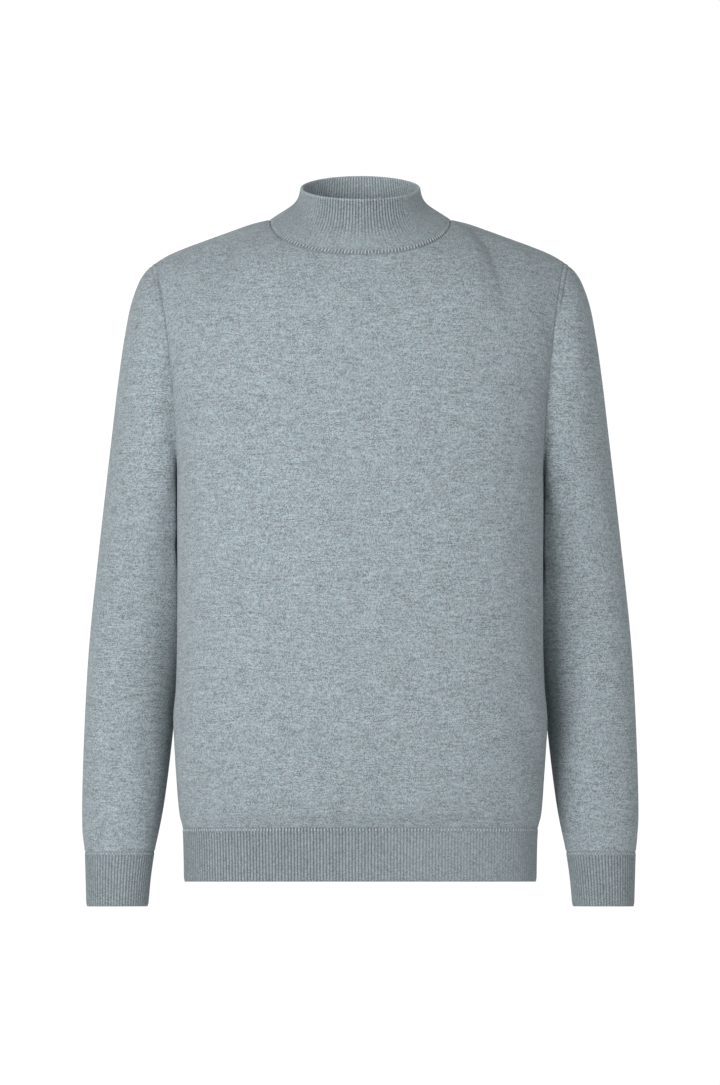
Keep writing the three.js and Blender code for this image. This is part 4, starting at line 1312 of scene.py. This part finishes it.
def cloth_area(piece):
    """Half of a closed shell's surface, in square metres."""
    areas = np.empty(len(piece.data.polygons))
    piece.data.polygons.foreach_get("area", areas)
    return areas.sum() / 2


for piece in [*panel_pieces.values(), *sleeve_pieces.values(), *hem_pieces.values(), *cuff_pieces.values(),
              collar_piece]:
    print(piece.name, "area", round(cloth_area(piece), 4))

# %% [markdown]
# ## Floor and light
#
# The picture is lit like a catalogue page: even white all round, and hardly a shadow. A sky gives most of
# the light here. It is white behind the garment, dimmer in front of it and dimmer still overhead, so that
# the sides round away. Two large soft lamps in front give the cloth its slope of tone, a key lamp on the
# left and a weaker fill on the right. The floor lies far below, where the wearer would stand.

# %% Floor
FLOOR_HEIGHT, FLOOR_HALF = -1450, 4100


def make_floor():
    """A plain pale floor."""
    material, shader, node, _ = shader_nodes("pale_floor")
    place = node("TexCoord").outputs["Object"]
    tone = node("TexNoise", Vector=place, Scale=3.0, Detail=2.0).outputs[0]
    put(shader.inputs["Base Color"], mixed(node, tone, (0.86, 0.86, 0.86, 1), (0.9, 0.9, 0.9, 1)))
    put(shader.inputs["Roughness"], 0.9)
    side = np.array([-1, 1])
    x, y = np.meshgrid(side * FLOOR_HALF, side * FLOOR_HALF)
    points = np.stack([x.ravel(), y.ravel(), np.full(4, FLOOR_HEIGHT)], -1)
    floor = mesh_piece("floor", points, np.array([[0, 1, 3, 2]]), [], np.zeros((4, 2)), 0, material)


make_floor()

# %% Lights
# The sky's strengths behind the garment and in front of it, and the share of them that is left overhead
BACKDROP, STUDIO, CEILING = 1.04, 0.6, 0.35
# Part of the direction, the values between which the strength changes, and the strengths there
SKY_SLOPES = ((1, -0.1, 0.5, STUDIO, BACKDROP), (2, 0.2, 0.9, 1, CEILING))


def soft_light(name, place, aim, size, power):
    """A square area light at a place in metres, turned to face the point that it is aimed at."""
    data = bpy.data.lights.new(name, "AREA")
    data.size = size
    data.energy = power
    light = bpy.data.objects.new(name, data)
    x, y, z = np.array(aim, float) - np.array(place, float)
    light.location = place
    light.rotation_euler = (np.pi / 2 + np.arctan2(z, np.hypot(x, y)), 0, np.arctan2(-x, y))
    bpy.context.scene.collection.objects.link(light)


def make_sky():
    """A sky that is white behind the garment, dimmer in front of it and dimmer still overhead."""
    world = bpy.data.worlds.new("studio")
    bpy.context.scene.world = world
    world.use_nodes = True
    nodes, links = world.node_tree.nodes, world.node_tree.links
    way = nodes.new("ShaderNodeSeparateXYZ")
    links.new(nodes.new("ShaderNodeTexCoord").outputs["Generated"], way.inputs[0])
    strength = nodes.new("ShaderNodeMath")
    strength.operation = "MULTIPLY"
    for k, (part, *values) in enumerate(SKY_SLOPES):
        ramp = nodes.new("ShaderNodeMapRange")
        ramp.interpolation_type = "SMOOTHSTEP"
        for socket, value in zip((1, 2, 3, 4), values):
            ramp.inputs[socket].default_value = value
        links.new(way.outputs[part], ramp.inputs[0])
        links.new(ramp.outputs[0], strength.inputs[k])
    links.new(strength.outputs[0], nodes["Background"].inputs[1])
    nodes["Background"].inputs[0].default_value = (1, 1, 1, 1)


make_sky()
soft_light("key", (-1.1, -1.9, 0.05), (0, 0, -0.3), 1.0, 53)
soft_light("fill", (1.8, -2.2, 0.5), (0, 0, -0.2), 1.6, 29)
bpy.context.scene.view_settings.view_transform = "Standard"
